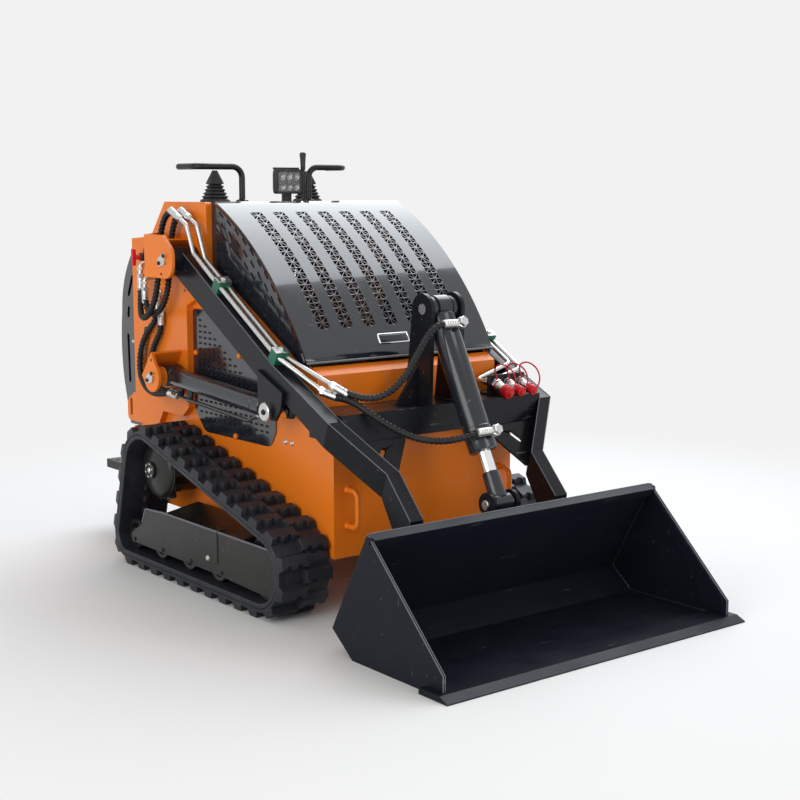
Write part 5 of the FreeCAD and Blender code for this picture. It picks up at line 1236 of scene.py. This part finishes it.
def make_bucket_welds():
    """Weld beads in the bucket's corners, its sides' doublers, edges with wear and a painted highlight, and
    the rim bar's ends.
    """
    form, doubler = Form(), Form()
    lip_x, lip_z = LIP_TOP
    outline = [along(RIM, LIP_TOP, 14, -3), along(RIM, LIP_TOP, 400, -3), (lip_x - 4, 22),
               (lip_x - 72, 22)]
    for sign in (1, -1):
        doubler.plate(outline, "y", *sorted((sign * BUCKET_INNER, sign * (BUCKET_INNER + 4.2))))
        weld = (along(RIM, BACK_FOOT, 12, 9), *FLOOR_WELD)
        bead(form, [at(x, sign * (BUCKET_INNER + 3), z) for x, z in weld])
    form.done("bucket_welds", "bucket", "bucket_paint", sharp=70, finish="barrel_paint")
    doubler.done("bucket_doublers", "bucket", "bucket_paint", bevel=0.8)
    # Lighter bars along the side plates' front edges and the rim: wear and a painted highlight
    edges = Form()
    for y in (BUCKET_FACE - 7, BUCKET_FACE - 1):
        edges.swept([at(RIM[0], y, RIM[1] - 0.5), at(lip_x - 0.5, y, lip_z - 0.5),
                     at(lip_x - 0.5, y, 16)], 1.5, 8)
    edges.both_sides()
    edges.swept([at(RIM[0] - 1, y, RIM[1] + 0.4) for y in (-520, 520)], 1.6, 8)
    edges.done("bucket_edges", "bucket", "bucket_paint", sharp=70, finish="worn_edge")
    rim = Form()
    x, z = along(BACK_FOOT, RIM, dist(BACK_FOOT, RIM) - 11, -12)
    for sign in (1, -1):
        rim.turned(at(x, -sign * 534, z), (0, sign, 0), [(9, 0), (11, 2), (11, 13)], 28)
    rim.done("bucket_rim_ends", "bucket", "bucket_paint")


def make_rod_end():
    """The painted sleeve and eye at the end of the tilt cylinder's rod, and the pin's bright end."""
    form, pin = Form(), Form()
    eye_x, eye_z = TILT_LINE[1]
    start = on_line(TILT_LINE, 0)
    way = on_line(TILT_LINE, 500) - start
    form.turned(start, way, [(20.6, 504), (23.5, 506), (24.5, 512), (25, 545), (26.5, 565), (27, 582)],
                40)
    form.turned(at(eye_x, -31.4, eye_z), (0, 1, 0), [(24, 0), (27, 2.5), (27, 60.3), (24, 62.8)], 44)
    form.done("tilt_rod_end", "tilt_rod", "barrel_paint", sharp=30)
    pin.turned(at(eye_x, 49, eye_z), (0, 1, 0), [(14, 0), (14, 6), (12, 8)], 32)
    pin.both_sides().done("tilt_pin_ends", "bucket", "zinc_steel")


# Gussets between the cross-member and the arms' legs, and weld beads

GUSSET_TOP = (Vector((0.421, 0.140, 0.5205)), Vector((0.424, 0.366, 0.5205)))
GUSSET_FOOT = Vector((0.509, 0.254, 0.400))
GUSSET_THICK = 8


def make_gussets():
    """Slotted plates from the cross-member down to the legs."""
    a, b = GUSSET_TOP
    across = (b - a).normalized()
    foot = GUSSET_FOOT - a
    normal = across.cross(foot).normalized()
    down = normal.cross(across)
    width, tip_x, tip_z = (b - a).length * 1000, foot.dot(across) * 1000, foot.dot(down) * 1000
    outline = [(0, 0), (width, 0), (tip_x + 8, tip_z), (tip_x - 6, tip_z)]
    hole = slot_ring(width * 0.50, tip_z * 0.34, 52, 15, 48)

    def place(u, v, level):
        return a + (across * u + down * v + normal * (level - GUSSET_THICK / 2)) / 1000

    form = Form()
    pierced(form, outline, [hole], place, GUSSET_THICK)
    form.both_sides().done("leg_gussets", "loader_arm", "dark_paint", bevel=0.8, finish="arm_paint")


def bead(form, points, radius=3.4, steps=0.004):
    """A weld bead along straight runs, with its ripples."""
    path = []
    for a, b in zip(points, points[1:]):
        count = max(2, int((b - a).length / steps))
        path += [a.lerp(b, k / count) for k in range(count)]
    form.swept(path + [points[-1]], radius, 8, (6, 0.9))


def make_arm_welds():
    form = Form()
    for sign in (1, -1):
        for y in (48.5, 63.5):
            bead(form, [at(322, sign * y, 601.5), at(428, sign * y, 601.5)])
        bead(form, [at(364.5, sign * 64, 601), at(364.5, sign * 140, 601)], 2.8)
        bead(form, [at(364.5, sign * 63, 604), at(364.5, sign * 63, 706)], 2.8)
    form.done("arm_welds", "loader_arm", "black_paint", sharp=70)
    # Lighter bars along the arms' edges: wear and a painted highlight
    edges = Form()
    for inner, outer in ((375, 250), (420, 295)):
        edges.swept([at(430, inner, 584), at(530, outer, 443), at(635, outer, 328)], 1.6, 8)
    for y in ARM_FACES:
        edges.swept([at(-372, y, 1038), at(161, y, 715.6), at(290, y, 652.6), at(430, y, 584)], 1.5, 8)
    edges.both_sides().done("arm_edges", "loader_arm", "dark_paint", sharp=70, finish="worn_edge")


def make_strut():
    """Small strut of the rear cover beside the hoses, with its round eye, on both sides."""
    form, eye = Form(), Form()
    top, low = at(-688, 366, 745), at(-735, 366, 600)
    form.swept([low, low.lerp(top, 0.5), top], 5, 14)
    form.swept([low, low.lerp(top, 0.55)], 8.5, 18)
    form.both_sides().done("cover_struts", "chassis", "zinc_steel")
    for x, z in ((-686, 752), (-737, 596)):
        eye.turned(at(x, TOWER_FACE, z), (0, 1, 0), [(11, 0), (12, 1), (12, 11), (10, 13)], 28)
    eye.both_sides().done("cover_strut_eyes", "chassis", "black_plastic")


def make_parts():
    for make in (make_hood, make_cheeks, make_grilles, make_rod_end, make_gussets, make_arm_welds,
                 make_frame_trim, make_strut):
        make()
    for side, sign in SIDES:
        for make in (make_track, make_wheels, make_sprocket, make_lift_barrel):
            make(side, sign)
    for make in (make_hoses, make_fittings, make_tubes, make_clamps, make_tilt_barrel, make_bolts,
                 make_couplers, make_handles, make_gaiters, make_lamp, make_isolator, make_latch,
                 make_platform, make_bucket_welds):
        make()


def dress_nodes():
    """Every CAD node takes the material of its own slot, except the lift arms and the cross-member, which
    take arm_paint.
    """
    slots = {part["node"]: part["material_slot"] for part in frame["record"]["subparts"]}
    for name, obj in NODES.items():
        obj.data.materials.clear()
        own = "arm_paint" if name.startswith(("lift_arm", "cross_member")) else slots[name]
        obj.data.materials.append(MATERIALS[own])


# Floor, world and lamps

BACKDROP = 0.887
WORLD_LIGHT = (0.30, 0.62)  # at the horizon and high up
FLOOR_SIZE, FLOOR_LEVEL = 40, -0.0005
FLOOR_FADE = (1.1, 3.2)  # metres from the origin
WARM, COOL = (1, 0.97, 0.93), (0.90, 0.95, 1)
LAMPS = (  # name, place, aim, width, watts, colour
    ("sky_panel", (-2.1, 3.1, 4.7), (-0.2, 0, 0.9), 5, 278, COOL),
    ("near_panel", (1.6, -5.4, 2.3), (0, 0, 0.5), 3.4, 122, WARM),
    ("front_panel", (5.4, 0.6, 1.7), (0.4, 0, 0.4), 2.4, 60, WARM),
)


def make_world():
    """Pale where it is seen, and for light a soft gradient that is darker towards the horizon."""
    world = bpy.data.worlds.new("world")
    bpy.context.scene.world = world
    t = Tree(world)
    height = t.node("ShaderNodeSeparateXYZ", Vector=t.coordinates["Generated"]).outputs["Z"]
    light = t.ramp(height, 0, 0.8, *WORLD_LIGHT, "LINEAR")
    t.feed(t.nodes["Background"].inputs["Color"], t.mix(t.seen(), light, grey(BACKDROP)))


def make_floor():
    """A pale floor that keeps the object's shadow and fades into the backdrop away from it."""
    bpy.ops.mesh.primitive_plane_add(size=FLOOR_SIZE, location=(0, 0, FLOOR_LEVEL))
    floor = bpy.context.object
    floor.name = "floor"
    t = Tree(bpy.data.materials.new("floor"))
    t.set(Base_Color=t.mix(t.noise(0.6), grey(0.80), grey(0.83)), Roughness=0.7)
    away = t.node("ShaderNodeVectorMath", {"operation": "LENGTH"})
    t.feed(away.inputs[0], t.place)
    fade = t.math("MULTIPLY", t.seen(), t.ramp(away.outputs["Value"], *FLOOR_FADE))
    pale = t.node("ShaderNodeEmission", Color=grey(BACKDROP), Strength=1)
    blend = t.node("ShaderNodeMixShader")
    for socket, value in zip(blend.inputs, (fade, t.shader.outputs[0], pale.outputs[0])):
        t.feed(socket, value)
    t.feed(t.nodes["Material Output"].inputs["Surface"], blend.outputs[0])
    floor.data.materials.append(t.owner)


def make_lamps():
    for name, place, aim, width, watts, colour in LAMPS:
        data = bpy.data.lights.new(name, "AREA")
        data.size, data.energy, data.color = width, watts, colour
        lamp = bpy.data.objects.new(name, data)
        bpy.context.scene.collection.objects.link(lamp)
        lamp.location = place
        lamp.rotation_mode = "QUATERNION"
        lamp.rotation_quaternion = (Vector(aim) - Vector(place)).to_track_quat("-Z", "Y")


bpy.context.scene.view_settings.view_transform = "Standard"
make_camera()
make_world()
make_floor()
make_lamps()
dress_nodes()
make_parts()
